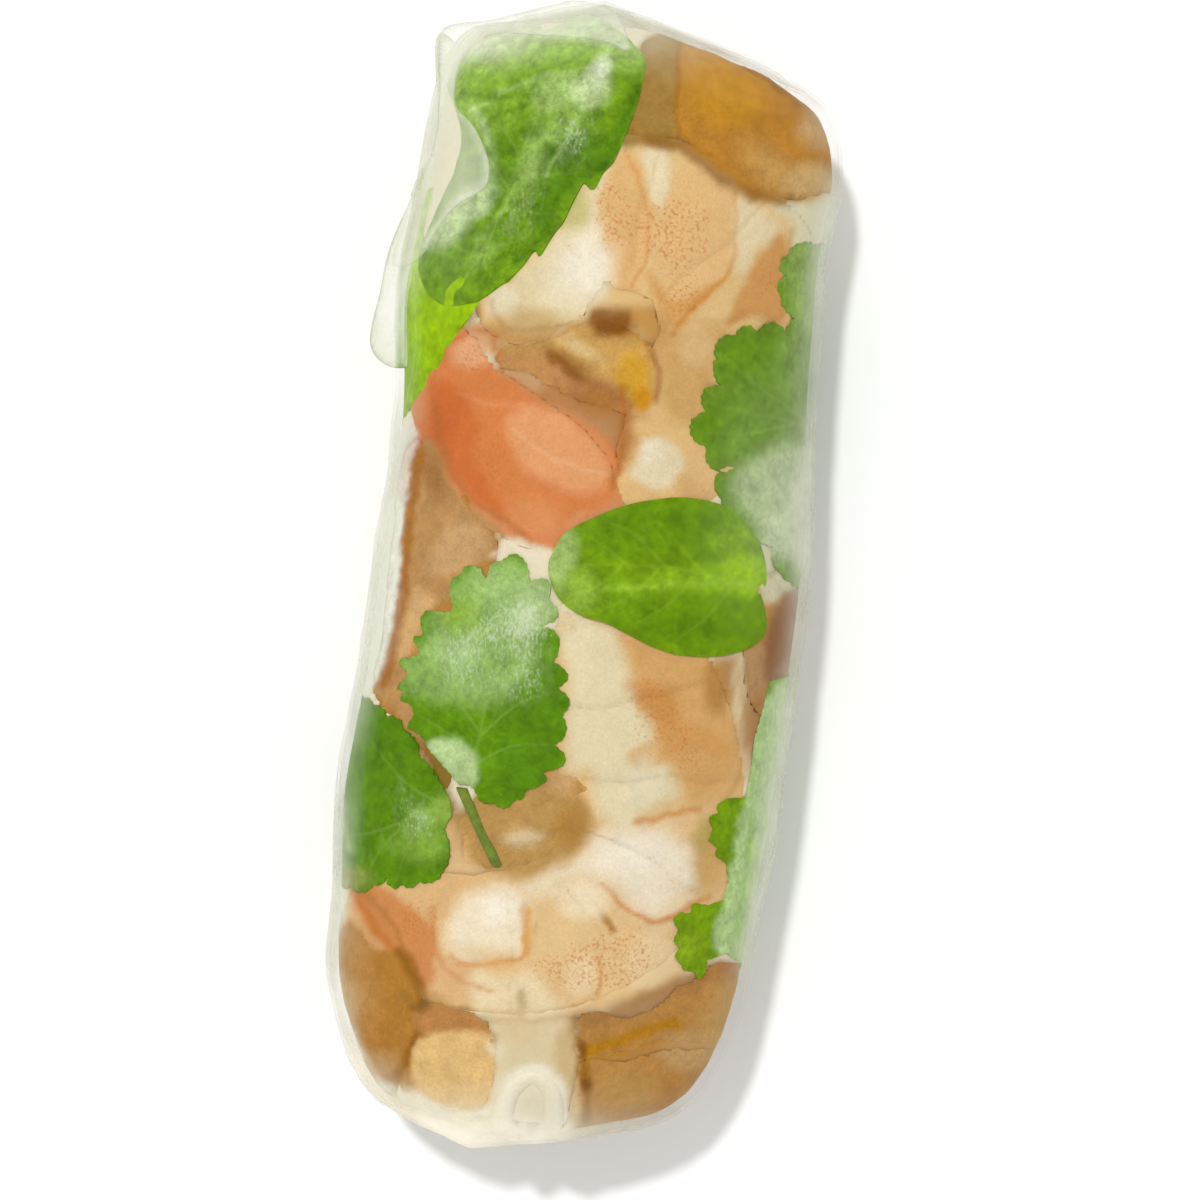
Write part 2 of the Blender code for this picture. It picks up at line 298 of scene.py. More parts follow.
def paint(obj, name, values):
    layer = obj.data.attributes.get(name) or obj.data.attributes.new(name, "FLOAT", "POINT")
    layer.data.foreach_set("value", np.ascontiguousarray(values, np.float32))


def leaned(dx, dy, lean):
    # distances across and along a spot that leans by this many degrees
    turn = math.radians(lean[0]) if lean else 0
    return dx * math.cos(turn) + dy * math.sin(turn), dy * math.cos(turn) - dx * math.sin(turn)


def blobs(points, spots):
    # soft spots given as x, y, reach across, reach along, strength, and how far they lean
    value = np.zeros(len(points))
    for x, y, wide, tall, strength, *lean in spots:
        across, along = leaned(points[:, 0] - x, points[:, 1] - y, lean)
        value += strength * np.exp(-((across / wide) ** 2) - (along / tall) ** 2)
    return value


def washed(tone, plan, *names):
    # lays the named washes of colour over a tone, one over the other, at these plan places
    tone = np.array(tone, float)
    places = plan[:, :2].copy()
    for stray, size, seed in ((0.35, 1.7, 51), (0.14, 0.6, 53)):  # ragged edges, coarse and fine
        ways = [flatNoise(plan[:, :2], size, seed), flatNoise(plan[:, :2], size, seed + 1)]
        places += stray * np.stack(ways, axis=1)
    for wash in [wash for name in names for wash in washes[name]]:
        colour, strength, soft, *shape = wash
        if len(shape) == 1 and isinstance(shape[0][0], tuple):
            line = smoothCurve(shape[0], 4 * len(shape[0]))
            reach = soft
        elif len(shape) == 2:
            line = smoothCurve(shape[1], 5 * len(shape[1]), closed=False)
            reach = soft + shape[0] / 2
        else:
            x, y, wide, tall, *lean = shape[0]
            line = np.array([(x, y)])
            reach = soft + max(wide, tall)
        near = np.flatnonzero(((places > line.min(0) - reach) & (places < line.max(0) + reach)).all(1))
        if not len(near):
            continue
        if len(line) == 1:
            across, along = leaned(*(places[near] - line[0]).T, lean)
            far = (np.hypot(across / wide, along / tall) - 1) * min(wide, tall)
        elif len(shape) == 2:
            far = pathDistance(places[near], line)[0] - shape[0] / 2
        else:
            far = nearest(places[near], line)[0]
        cover = (strength * smoothStep(soft, -soft, far))[:, None]
        tone[near] = tone[near] * (1 - cover) + np.array(lit(colour)[:3]) * cover
    return tone


def paintTone(obj, tone):
    layer = obj.data.attributes.get("tone") or obj.data.attributes.new("tone", "FLOAT_COLOR", "POINT")
    layer.data.foreach_set("color", np.c_[tone, np.ones(len(tone))].astype(np.float32).ravel())


fillings = ("noodles", "prawnTop", "tofuCentre", "prawnMiddle", "tofuTop", "tofuLeft", "prawnBottom",
    "tofuInner", "tofuRight", "tofuLowerLeft", "tofuEndLeft", "tofuEndRight", "creases", "noodleArch")


def paintFilling(obj, colour, plan):
    # everything under the skin has soaked and pressed together, so its colours run into each other
    own = np.tile(lit(colour)[:3], (len(plan), 1))
    shown = smoothStep(9.0, 14.0, plan[:, 2])[:, None]
    paintTone(obj, washed(own, plan, *fillings) * shown + own * (1 - shown))


def finishPiece(obj, material, slot, *nodes):
    obj.data.materials.clear()
    obj.data.materials.append(material)
    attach(obj, "root")
    if nodes:
        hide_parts(*nodes)


def cutGrid(name, outline, step):
    # a flat grid cut to an outline, its rim drawn onto the line
    low, high = outline.min(0) - step, outline.max(0) + step
    across, along = np.maximum(3, np.round((high - low) / step)).astype(int)
    deselectAll()
    bpy.ops.mesh.primitive_grid_add(x_subdivisions=int(across), y_subdivisions=int(along), size=1)
    obj = bpy.context.object
    obj.name = obj.data.name = name
    points = getPoints(obj)
    points[:, :2] = low + (points[:, :2] + 0.5) * (high - low)
    setPoints(obj, points)
    corners = np.zeros(len(obj.data.polygons) * 4, int)
    obj.data.polygons.foreach_get("vertices", corners)
    middles = points[corners.reshape(-1, 4), :2].mean(1)
    selectFaces(obj, nearest(middles, outline)[0] > -0.12 * step)
    bpy.ops.object.mode_set(mode="EDIT")
    bpy.ops.mesh.select_mode(type="FACE")
    bpy.ops.mesh.delete(type="FACE")
    bpy.ops.mesh.select_mode(type="VERT")
    bpy.ops.mesh.select_all(action="SELECT")
    bpy.ops.mesh.delete_loose(use_verts=True, use_edges=True, use_faces=False)
    bpy.ops.object.mode_set(mode="OBJECT")
    counts = np.zeros(len(obj.data.edges), int)
    ends = np.array([e.vertices[:] for e in obj.data.edges])
    loops = np.zeros(len(obj.data.loops), int)
    obj.data.loops.foreach_get("edge_index", loops)
    np.add.at(counts, loops, 1)
    rim = np.unique(ends[counts == 1])
    points = getPoints(obj)
    points[rim, :2] = nearest(points[rim, :2], outline)[1]
    setPoints(obj, points)
    return obj


def longBall(name, segments, rings):
    # a sphere, with each point's share of the roll's length and its angle round from the crown
    deselectAll()
    bpy.ops.mesh.primitive_uv_sphere_add(segments=segments, ring_count=rings, radius=1)
    obj = bpy.context.object
    obj.name = obj.data.name = name
    points = getPoints(obj)
    latitude = np.arcsin(np.clip(points[:, 2], -1, 1)) / (math.pi / 2)
    share = 0.5 * latitude + 0.5 * np.sin(latitude * math.pi / 2)
    return obj, share, np.arctan2(points[:, 0], points[:, 1])


def faceOutwards():
    bpy.ops.object.mode_set(mode="EDIT")
    bpy.ops.mesh.select_all(action="SELECT")
    bpy.ops.mesh.normals_make_consistent(inside=False)
    bpy.ops.object.mode_set(mode="OBJECT")


def layPiece(name, outline, step, thickness, topDepth, covers, bottom):
    # a closed piece pressed against the paper: a grid cut to its outline, given a lower face and laid there
    # topDepth(sheet, inner) gives the depth of its upper face, inner being the distance in from its outline
    sheetLine = unrolled(outline, 1.2)
    obj = cutGrid(name, sheetLine, step)
    bpy.ops.object.mode_set(mode="EDIT")
    bpy.ops.mesh.select_all(action="SELECT")
    bpy.ops.mesh.extrude_region_move(TRANSFORM_OT_translate={"value": (0, 0, 1)})
    bpy.ops.object.mode_set(mode="OBJECT")
    faceOutwards()
    points = getPoints(obj)
    upper = points[:, 2] > 0.5
    sheet = points[:, :2].copy()
    inner = -nearest(sheet, sheetLine)[0]
    plan = onRoll(sheet[:, 0], sheet[:, 1], 0.6)
    depth = topDepth(sheet, inner)
    if covers is fillingCovers:
        depth = tuckUnder(sheet, depth, leafCovers, -0.25, -0.8)
    depth = pressed(sheet[:, 0], sheet[:, 1], depth)
    lower = depth + 0.6 if thickness < 1 else np.maximum(depth + 0.3, 1.0 + thickness)
    covers.append((sheetLine, bottom))
    depth = np.where(upper, depth, lower)
    points = onRoll(sheet[:, 0], sheet[:, 1], depth)
    setPoints(obj, place(points))
    selectOnly(obj)
    bpy.ops.object.shade_smooth_by_angle(angle=math.radians(55))
    return obj, sheet, plan, inner


# colours of the soaked fillings and herbs, place by place, seen from above; a few are painted shade and
# painted highlights, each noted where it stands
# each wash is a colour, its strength, how soft its edge is, then an outline, or a spot as x, y, reach across,
# reach along and lean, or a line's width and the line

washes = {
    "noodles": (
        ("#e7e6d6", 1, 0.4, ((-21.2, 16.4), (-18.4, 12.3), (-18.9, 4.3), (-18, -7.9), (-19.9, -13),
            (-22.2, -15.7), (-24.3, -13.4), (-22.4, -8.3), (-21.8, 10.2))),
        ("#e8e4d2", 1, 0.6, ((-23.6, -32.7), (-21.4, -34.9), (-21.1, -42.2), (-19.7, -48.2), (-17.3, -52.3),
            (-14.5, -55.4), (-11.3, -56.3), (-16, -58.9), (-21, -51.4), (-23.2, -42.5))),
        ("#e6dcc0", 1, 0.8, ((-16.8, -56.8), (-11.4, -55.7), (-4.6, -56.6), (-3, -53.9), (3.9, -55.7),
            (5, -60.5), (-7.1, -61.7), (-14.6, -60.6))),
        ("#e7dabd", 0.95, 0.6, ((-9.4, 3), (-5.7, 2.9), (-3, 2.1), (-3.2, -0.2), (-4.3, -2.2), (-5.7, -0.5),
            (-7.3, 0.6), (-11, 0.9))),
        ("#cbc5a4", 0.95, 0.7, ((18.4, 6.6), (21.2, 6.9), (23.8, 2.5), (21.6, -0.2), (19.5, -0.7),
            (18.8, 2.6))),
        ("#dad3b2", 0.9, 0.6, ((16.4, 41.6), (20.4, 41.7), (22.3, 38.6), (22.2, 36.1), (18.9, 35.8),
            (18, 38.1))),
        ("#dccaa2", 0.9, 0.8, ((-3.4, -47.3), (2.4, -46.6), (3.1, -50.8), (3.1, -53.3), (-3, -53.9),
            (-5, -51))),
        ("#cdb080", 0.95, 0.5, ((2.5, -47.2), (4.6, -47), (5.9, -58.5), (4.4, -59), (3.1, -53.3))),
    ),
    "prawnTop": (
        ("#dcb981", 1, 0.8, ((0, 45.8), (5.8, 46.1), (11.3, 43.3), (15.2, 41.5), (18.6, 38.2), (18.7, 30.8),
            (17.8, 28.3), (13, 26.6), (12.2, 22.8), (11.3, 19), (7.8, 17.3), (5.3, 24.6), (2, 26.7),
            (-1.7, 26.9), (-5.3, 25.9), (-9.6, 25.5), (-12.6, 28), (-8.5, 33.6), (-4.3, 40.1))),
        ("#cb9f64", 0.9, 1, ((13.2, 27.8), (12.2, 22.8), (11.5, 17.8), (7.8, 17.3), (6.1, 22.2), (4.6, 25.1),
            (7, 26))),
        ("#ddcda5", 0.92, 1.4, ((0.1, 45.5), (-1.6, 40.4), (-2, 36.1), (-0.7, 31.9), (-1.2, 28.2),
            (-5.3, 26.2), (-9.6, 25.5), (-11.9, 27.7), (-11.5, 29.6), (-8.5, 33), (-5.8, 36.6), (-3.1, 40.9),
            (-1.6, 44.1))),
        ("#efe6d0", 0.9, 2.4, (-3.6, 32.9, 2, 3.8, -25)),
        ("#e4d4b0", 0.9, 0.8, ((1.9, 44.8), (4.2, 45.9), (5.2, 43), (5.7, 38.6), (4.5, 38.9), (3, 41.5))),
        ("#dcad72", 0.75, 0.7, ((-0.8, 44.7), (1.7, 44.4), (3, 40.9), (4.2, 37.6), (3.7, 33.6), (2.8, 30.4),
            (1.1, 30.3), (-0.3, 33.8), (-1.7, 37.3), (-1.6, 41))),
        ("#cf8a52", 0.7, 0.3, 0.35, ((0.3, 44.8), (2.4, 40.8), (3.5, 37.3), (3.6, 33.6), (2.5, 30.9))),
        ("#dfb67f", 0.9, 0.6, ((5.5, 43), (8.8, 43.9), (12.2, 41.8), (12.8, 37.6), (12.7, 33.3), (10.2, 30),
            (7.8, 26.7), (5.8, 28), (4.5, 32.4), (4.6, 36.8))),
        ("#cf9350", 0.7, 0.6, ((3.9, 32.4), (5.8, 28.3), (8.1, 26.7), (10.2, 30), (12.7, 32.7), (10.1, 31.2),
            (7.2, 29.7))),
        ("#c8853f", 0.75, 0.3, 0.45, ((12.6, 41.6), (13, 37.6), (12.8, 33.3), (10.2, 30.5), (7.1, 26))),
        ("#e2d0aa", 0.88, 1, ((12.9, 41), (15.3, 40.9), (17.5, 38.1), (15.7, 36.2), (14, 33.5),
            (13.2, 35.2))),
        ("#cc9256", 0.9, 0.6, ((17.9, 37.8), (18.6, 33.3), (18.7, 28.7), (15.8, 29.3), (13.2, 27.7),
            (14.1, 31.6), (15.8, 35.4))),
        ("#d9b987", 0.6, 1, (10.1, 25, 2, 2)),
        ("#e2d4b4", 0.9, 0.8, (-11.3, 27.8, 1.8, 1.8)),
        ("#e1d1ad", 0.97, 0.6, (6.8, 12.6, 3.1, 2.7)),
        # painted highlight on the white flesh, and painted shade below it at its lower right
        ("#ebe0c6", 0.7, 0.8, (6.1, 13.5, 1.6, 1.3)),
        ("#c99e6c", 0.7, 0.8, (11.1, 9.8, 2, 1.2, -30)),
        ("#c4a26c", 0.8, 0.9, (-8, 26, 3, 1.5)),
        ("#b9823e", 0.8, 0.9, (4, 26.5, 2.8, 2)),
        ("#cc985a", 0.8, 0.7, (3.6, 14, 1.5, 2.2)),
        ("#8c7430", 0.8, 0.7, (0.3, 46.4, 1.5, 1.3)),
        ("#bdb672", 0.85, 0.9, (-4.4, 38, 1.4, 2)),
        ("#f2e9d6", 0.7, 1.6, (-1.5, 31.5, 1.6, 2.6, -20)),
    ),
    "tofuCentre": (
        ("#bd9058", 0.9, 0.8, ((-14.4, 25), (-11.4, 25.3), (-7.6, 24.8), (-1.7, 26.6), (-1.5, 25.1),
            (-5.1, 23.5), (-7.2, 20.8), (-11, 21.7), (-13.6, 23.2))),
        ("#b8845a", 0.9, 0.8, ((-4.9, 19.5), (-0.5, 17.9), (2.2, 15.4), (3.5, 15.2), (3.2, 20.1), (2.1, 22.4),
            (-0.8, 20.9))),
        ("#bc8757", 0.85, 0.8, ((-11, 21.7), (-5.5, 22.2), (-1, 19.6), (2.9, 17.9), (5.4, 17.2), (-0.7, 16.4),
            (-5.7, 17.3), (-9.4, 18.1))),
        ("#c69a58", 0.95, 0.6, ((-5.6, 24.1), (-1.7, 26.5), (2.1, 25.8), (4.7, 24.5), (6.1, 21.6), (5.6, 18),
            (2.8, 18.8), (0.1, 20.7), (-3.1, 22.5))),
        ("#cf9a34", 0.9, 0.8, (3.4, 21.3, 1.8, 2.6)),
        ("#c98a1c", 0.9, 0.5, (4.7, 19, 1, 1.2)),
        ("#d9c190", 0.6, 0.6, (-2.6, 23.7, 2.4, 0.8, -25)),
        # painted shade: the dark brown patch in the gap under the curled prawn's legs
        ("#875018", 0.95, 0.7, ((-2, 26.9), (-0.6, 27.8), (1.9, 27.6), (2.8, 26.1), (1.4, 25.2), (-1, 25.5))),
        ("#7d5c2c", 0.8, 0.6, (-14.6, 26.5, 0.9, 1.5)),
        ("#8a5022", 0.85, 0.5, 1, ((-5.6, 22.5), (-2.3, 20.7), (0.3, 19.4), (2.8, 18.2))),
        ("#9a5c30", 0.8, 0.4, 0.5, ((4.6, 25.1), (6.2, 22.2), (6.1, 19.1))),
        ("#b17a4c", 0.92, 0.8, ((-7, 17.4), (-3, 20.5), (3, 19.4), (4.2, 14), (2.4, 11.6), (0.6, 13.4),
            (-2, 15.2))),
        ("#a86e38", 0.7, 0.8, (0, 18.2, 2.4, 1.4)),
        ("#8a5a2e", 0.6, 1, (-3, 21.5, 3.4, 0.7, -30)),
    ),
    "prawnMiddle": (
        ("#d37f4c", 1, 0.5, ((-18.4, 22.2), (-16.4, 23.9), (-13.9, 23.2), (-12.7, 20.9), (-9.2, 19.4),
            (-4.1, 16.9), (0.1, 15.2), (2.8, 12.7), (2.9, 9.6), (1.8, 7.3), (-1.7, 6.1), (-2.4, 3.2),
            (-5.7, 3.1), (-9, 5), (-12.8, 6.8), (-15.6, 10.2), (-17.5, 13.7), (-18.3, 18.5))),
        ("#cb6b3c", 0.85, 0.9, ((-18, 18.5), (-15.2, 18.2), (-12.4, 14.8), (-12.7, 11.1), (-9.1, 6.5),
            (-9.7, 5.6), (-13.6, 7.9), (-16.4, 11.3), (-17.7, 14.9))),
        ("#df9d6c", 0.9, 0.9, ((-9.5, 15.7), (-5.9, 17.3), (-1.4, 15.3), (1.6, 12.5), (1.6, 9.5), (-2, 8.5),
            (-5.8, 9.9), (-8.5, 12.1))),
        ("#dfa67c", 0.9, 0.9, (-14.1, 22.3, 2, 1.8)),
        ("#c46e40", 0.7, 0.4, 0.5, ((-16.8, 21.1), (-16.4, 23.3), (-14.4, 24.5), (-11.9, 24), (-10.9, 22))),
        ("#d8905e", 0.7, 1, (-5.3, 5.4, 3, 1.8, -20)),
        ("#e8b48c", 0.5, 0.3, 0.3, ((-8.7, 14.6), (-5.4, 12.4), (-1, 11), (2.1, 10.8))),
        ("#e39a72", 0.5, 0.3, 0.3, ((-15.2, 17.6), (-11.4, 17), (-7.8, 17.1))),
        ("#b06c34", 0.8, 0.4, 0.6, ((2.6, 20), (3.1, 15.2), (2.8, 12.1), (2.5, 9.6))),
        ("#b8552c", 0.5, 1.4, (-17.5, 12, 1.6, 5, -20)),
    ),
    "tofuTop": (
        ("#b67e37", 1, 0.5, ((0.9, 55.7), (5.5, 57.7), (9.8, 55.8), (14, 53.8), (18.5, 51.4), (22.8, 48.4),
            (22.2, 44.7), (21, 42.1), (18.3, 41.3), (14.6, 41.6), (11.3, 43.3), (8.7, 44.8), (5.8, 46.1),
            (2.5, 46.1), (0.5, 47.7))),
        ("#9d7c42", 0.9, 0.7, ((0.6, 55.7), (4.4, 57.3), (4.8, 52.1), (5.6, 46.7), (2.5, 46.1), (0.2, 47.7),
            (-0.6, 51.6))),
        ("#c28a2e", 0.8, 1.2, ((5.5, 57.1), (9.8, 55.4), (13.4, 53.3), (14.3, 50.6), (10.8, 48.7),
            (7.6, 49.9), (5.5, 52.8))),
        # painted shadow: the dark band along the slab's lower edge, where it meets the prawn
        ("#8c5c2c", 0.7, 0.7, 1.2, ((2.4, 46.5), (5.8, 46), (8.8, 44.2), (11.4, 42.8), (14.6, 41.8),
            (18.3, 41.5))),
        ("#c39a5e", 0.7, 1.5, (16.1, 44.7, 3.5, 1.8, -35)),
        ("#94601f", 0.7, 0.3, 0.5, ((5.5, 57.6), (9.8, 55.7), (14, 53.7), (18.5, 51.2), (22.2, 48.4))),
        ("#94601f", 0.6, 0.3, 0.4, ((4.8, 57.3), (5, 52.1), (5.8, 46.7))),
        ("#c6a478", 0.85, 1.2, (20.5, 49.6, 2, 2.4)),
        ("#c8a874", 0.8, 1, (20, 43.4, 2.4, 2)),
    ),
    "tofuLeft": (
        ("#b98c5a", 0.97, 0.5, ((-18.2, 11.3), (-16.9, 12), (-14.7, 7.8), (-12.1, 5.5), (-8.7, 3.4),
            (-9.7, 1.1), (-12.5, -1.2), (-13, -3.4), (-15.2, -4.6), (-16, -7.7), (-17.3, -10.6), (-15.8, -15),
            (-13.8, -19.7), (-15.7, -19.9), (-18.6, -15.3), (-20, -14.2), (-19.8, -12.3), (-18.6, -9.1),
            (-18.4, -3.6), (-18.9, 2.5))),
        ("#96643a", 0.7, 1, (-16.6, 8.9, 1.2, 3, 15)),
        ("#caa274", 0.8, 1, ((-13.8, 4.2), (-10.7, 3.3), (-11.6, 0.2), (-14.5, -1.4), (-16.4, -0.9),
            (-15.5, 2.2))),
        ("#d5ac78", 0.8, 0.8, ((-17.6, -3.5), (-15.4, -4.2), (-16.3, -7.7), (-17.6, -10.3), (-18.5, -9.8))),
        ("#a2662a", 0.85, 0.4, 1, ((-18.1, 11), (-18.6, 4.4), (-18.4, -3.6), (-18.9, -9.2), (-19.5, -13.5))),
        ("#8c6438", 0.9, 0.6, ((-15.6, -19), (-13.7, -19.7), (-10.9, -24.3), (-9.4, -26.8), (-11.3, -27),
            (-14.1, -22.8))),
    ),
    "prawnBottom": (
        ("#dfba88", 0.95, 0.8, ((-21.1, -33), (-13.5, -34.7), (-8.1, -33.9), (-2, -33.6), (3.3, -31.5),
            (5.3, -26.7), (10.6, -24.3), (15.9, -22.5), (17.6, -26.7), (18.4, -29), (17, -33.2),
            (14.7, -40.5), (9.5, -43.6), (3.5, -45.9), (-0.1, -46.2), (-6.2, -46.9), (-10.9, -45.5),
            (-12.5, -45.1), (-15.2, -42.9), (-18.6, -39.5))),
        ("#dfd2ac", 0.95, 1.3, ((-2.2, -0.6), (0.5, -3.5), (4.7, -5.7), (6, -8.5), (8.8, -12.5),
            (10.6, -17.2), (12.7, -19.5), (13.5, -21.8), (10.5, -23.4), (7.1, -26.2), (4.1, -24),
            (3.1, -20.4), (1, -20.7), (0, -15.8), (-0.2, -11), (-1.5, -7.4), (-2.6, -3.8))),
        ("#d0a064", 0.9, 1.4, ((5.7, -5.8), (11.9, -7.3), (15.7, -7.5), (17.4, -11.6), (19.1, -16.4),
            (18.8, -19.5), (16, -22.2), (13.7, -22.4), (12, -19.5), (9.1, -14.9), (6.8, -10.2))),
        ("#c6884a", 0.7, 0.9, ((6.2, -10.6), (11.2, -10.9), (11.7, -14.8), (8.9, -14), (7.1, -12.7))),
        ("#cf9656", 0.6, 0.5, ((7, -18.2), (9.2, -16.8), (10.5, -14.5), (13.9, -14.4), (17.7, -16.5),
            (16.7, -17.8), (12.9, -17), (10.1, -19.7), (8.3, -19.9))),
        ("#e3d8b8", 0.7, 1, (9, -21.1, 2.2, 2.4)),
        ("#cc9a66", 0.6, 0.6, 1, ((5, -5.8), (8.8, -7.3), (13.1, -7.5))),
        ("#d9b07c", 0.9, 0.8, ((-14.4, -29.3), (-10.7, -26.5), (-8.4, -30.5), (-6.4, -32.8), (-9.8, -35),
            (-11.3, -38.8), (-13.8, -37.8), (-18.4, -35.2), (-20.4, -33.6), (-16, -34.4))),
        ("#ecdfc4", 0.92, 2, ((5, -27), (10.7, -25.6), (14, -27.1), (16.5, -29.2), (17.3, -31.9),
            (14.8, -34.6), (11.2, -35.3), (8.6, -33.8), (6.6, -32.1), (3.3, -31.7), (0.4, -33.3),
            (-1.8, -34.1), (-2.4, -32.7), (0.8, -30.8), (3.6, -28.7))),
        # painted highlight on the plump white flesh, and painted shade along its lower edges
        ("#f4ead6", 0.8, 2.2, (8.9, -28.8, 3.4, 2)),
        ("#dfc297", 0.6, 1, (14.6, -33.4, 2.2, 1, 25)),
        ("#e2cfa6", 0.5, 1, (2.2, -32.8, 3, 0.8, 10)),
        ("#cb8c4e", 0.8, 0.4, 0.6, ((8.5, -25.2), (12.4, -24.2), (15.4, -23.2))),
        ("#c98040", 0.85, 0.3, 0.5, ((5.5, -32.2), (8.5, -34.4), (11.7, -35.7), (14.7, -34.4),
            (17.2, -32.2))),
        ("#cc8650", 0.95, 0.7, ((-21.3, -32.1), (-17.7, -34.7), (-13.1, -37.7), (-11.2, -40.6),
            (-11.2, -44.3), (-12.8, -45), (-15.3, -42.9), (-18.6, -39.7), (-20.8, -35.5))),
        ("#bd6c34", 0.8, 0.6, 0.8, ((-20.6, -34.2), (-18, -38.9), (-14.2, -43.1))),
        ("#dcae7c", 0.8, 0.5, ((-11.5, -41.9), (-9.2, -41.3), (-6.3, -42.3), (-6.3, -45.6), (-9.3, -46),
            (-11, -44.3))),
        ("#eedfc2", 0.95, 1.3, ((-7.9, -34.3), (-4.6, -33.1), (-2.2, -35.1), (-2.3, -39.7), (-4.9, -41.2),
            (-9.1, -41.1), (-10.3, -39), (-9.6, -36.2))),
        # painted highlight on this white segment's upper part, and painted shade along its lower edge
        ("#f6eedd", 0.7, 1, (-5.1, -36, 1.8, 1.4)),
        ("#e0c596", 0.7, 0.9, (-6.5, -40.5, 2.6, 0.8)),
        ("#cf9058", 0.7, 0.3, 0.4, ((-9.8, -41.1), (-6.7, -42.1), (-1.9, -40.6), (-1, -37.1))),
        ("#e8d4ac", 0.9, 1.1, ((-6.4, -42), (-1.1, -42.1), (2.1, -44.8), (3, -46.7), (-0.6, -47.2),
            (-5.4, -47.4), (-7.3, -45.1))),
        ("#e2c08c", 0.9, 0.6, ((-1, -37.4), (3.5, -33.6), (8.7, -36.5), (13.8, -38.1), (14.7, -40.5),
            (9.6, -43.4), (5.9, -43.9), (3.2, -42.4), (-0.5, -40.9))),
        ("#ead0a6", 0.8, 0.7, (4.4, -42.1, 1.8, 2.2)),
        ("#e6cba0", 0.7, 0.7, ((9, -39.2), (11.8, -36.4), (14.5, -38.6), (12.9, -41.2), (9.9, -42.2))),
        ("#cc8c50", 0.75, 0.3, 0.4, ((6.1, -40), (6.7, -41.9), (6.4, -43.9))),
        ("#d9a142", 0.85, 0.3, 0.5, ((-1.9, -35.7), (-1.7, -37.8), (-1.8, -40.3))),
        ("#aa7030", 0.85, 0.3, 0.8, ((5.1, -34.2), (6.3, -35.5), (7.3, -36.7))),
        ("#b3a374", 0.8, 0.4, ((-2.4, -44.6), (-1.7, -44), (-1.1, -45.7), (-1.8, -46.5))),
        ("#c69a58", 0.85, 0.9, (16.8, -29.6, 1.5, 3)),
        ("#efdcbc", 0.85, 1, (4, -34, 2.6, 2)),
        ("#dfae6e", 0.7, 0.7, (-4.5, -41.8, 2.4, 1)),
        ("#b07c42", 0.8, 0.8, (16, -10, 1.5, 3)),
        ("#a08f34", 0.6, 0.8, (16, -26, 1, 1.8)),
    ),
    "tofuInner": (
        ("#c39c6e", 0.9, 1, ((-8.4, -24.7), (-3.6, -24.2), (-0.8, -20.8), (1, -21.3), (2.6, -24.2),
            (4, -26.5), (-8.1, -27.7))),
        ("#b58d54", 0.95, 1, ((-10.7, -26.5), (-6.1, -23.5), (-1.9, -22.5), (2.5, -23.3), (4, -26.2),
            (3, -28.7), (0.2, -30.9), (-2.7, -32.4), (-6.4, -32.2), (-9.1, -30))),
        ("#a87a3c", 0.8, 1, (1.6, -26.4, 1.6, 2.4)),
        ("#dcc8a2", 0.7, 0.9, ((-5.3, -28.1), (-3.3, -27.2), (-1.1, -27.6), (-1.9, -28.6), (-4.3, -29))),
        ("#7e6c30", 0.8, 0.6, (-12.5, -22.2, 1.3, 1.8)),
    ),
    "tofuRight": (
        ("#b08a62", 0.9, 0.7, ((15.6, -7.5), (18.5, -6), (20.9, -5.1), (21.5, -11.2), (19, -16.4),
            (17.6, -11.6))),
        ("#a9794c", 0.8, 0.7, ((18.9, -12.7), (20.7, -9.5), (22, -9.9), (21.9, -14.9), (20, -17.5))),
        ("#dcc9a0", 0.8, 0.4, ((16.7, -7.5), (18, -6.7), (18.5, -10.3), (18.1, -13.1), (17.3, -11.6))),
        ("#8c5c3c", 0.95, 0.6, ((21.1, -0.2), (23.6, 1.2), (23.9, -4.8), (22.9, -8), (22.1, -9.9),
            (20.5, -8.9), (20, -5.2), (20.6, -2.7))),
    ),
    "tofuLowerLeft": (
        ("#b07a3a", 1, 0.5, ((-20.5, -38.4), (-17.8, -41.2), (-15.2, -41.6), (-12.7, -44.6), (-11.9, -49.3),
            (-12.5, -51.8), (-14.5, -55.2), (-17.3, -52.3), (-19.7, -48.2), (-21.1, -42.2))),
        ("#bd8c52", 0.6, 1, (-17.8, -46.8, 1.2, 3)),
        ("#8c5a22", 0.8, 0.5, 1.2, ((-15.3, -41.5), (-12.7, -45.1), (-12.1, -49.3), (-14.3, -54.4))),
        ("#b98a56", 0.9, 1.2, (-20.6, -42, 2.4, 3)),
        ("#c9a878", 0.9, 1.2, (-20.6, -47, 2.2, 2.4, -20)),
        ("#c09a68", 0.8, 1, (-16.4, -53.6, 2, 1.6)),
    ),
    "tofuEndLeft": (
        ("#b8814e", 0.95, 0.5, ((-12.3, -46.8), (-6.7, -46.9), (-4, -48.5), (-4.5, -49.9), (-12.1, -50))),
        ("#dfb97c", 0.97, 0.5, ((-12.2, -50.4), (-5.2, -49.2), (-3.6, -52.7), (-4.5, -56.5), (-8.8, -56.5),
            (-12.2, -55))),
    ),
    "tofuEndRight": (
        ("#b78449", 1, 0.4, ((4.7, -48.2), (9.9, -46.3), (15.1, -43.4), (19, -39.3), (22.3, -40),
            (22.3, -46.4), (19.8, -51.7), (14.4, -56.4), (9.3, -58.8), (5, -59.8), (5.8, -55.5))),
        # painted shadow: the brown band along the slab's upper edge, below the prawn
        ("#a87848", 0.9, 0.7, ((3.8, -45.5), (7.1, -44.6), (11.7, -42), (15.2, -40.1), (18.8, -38.5),
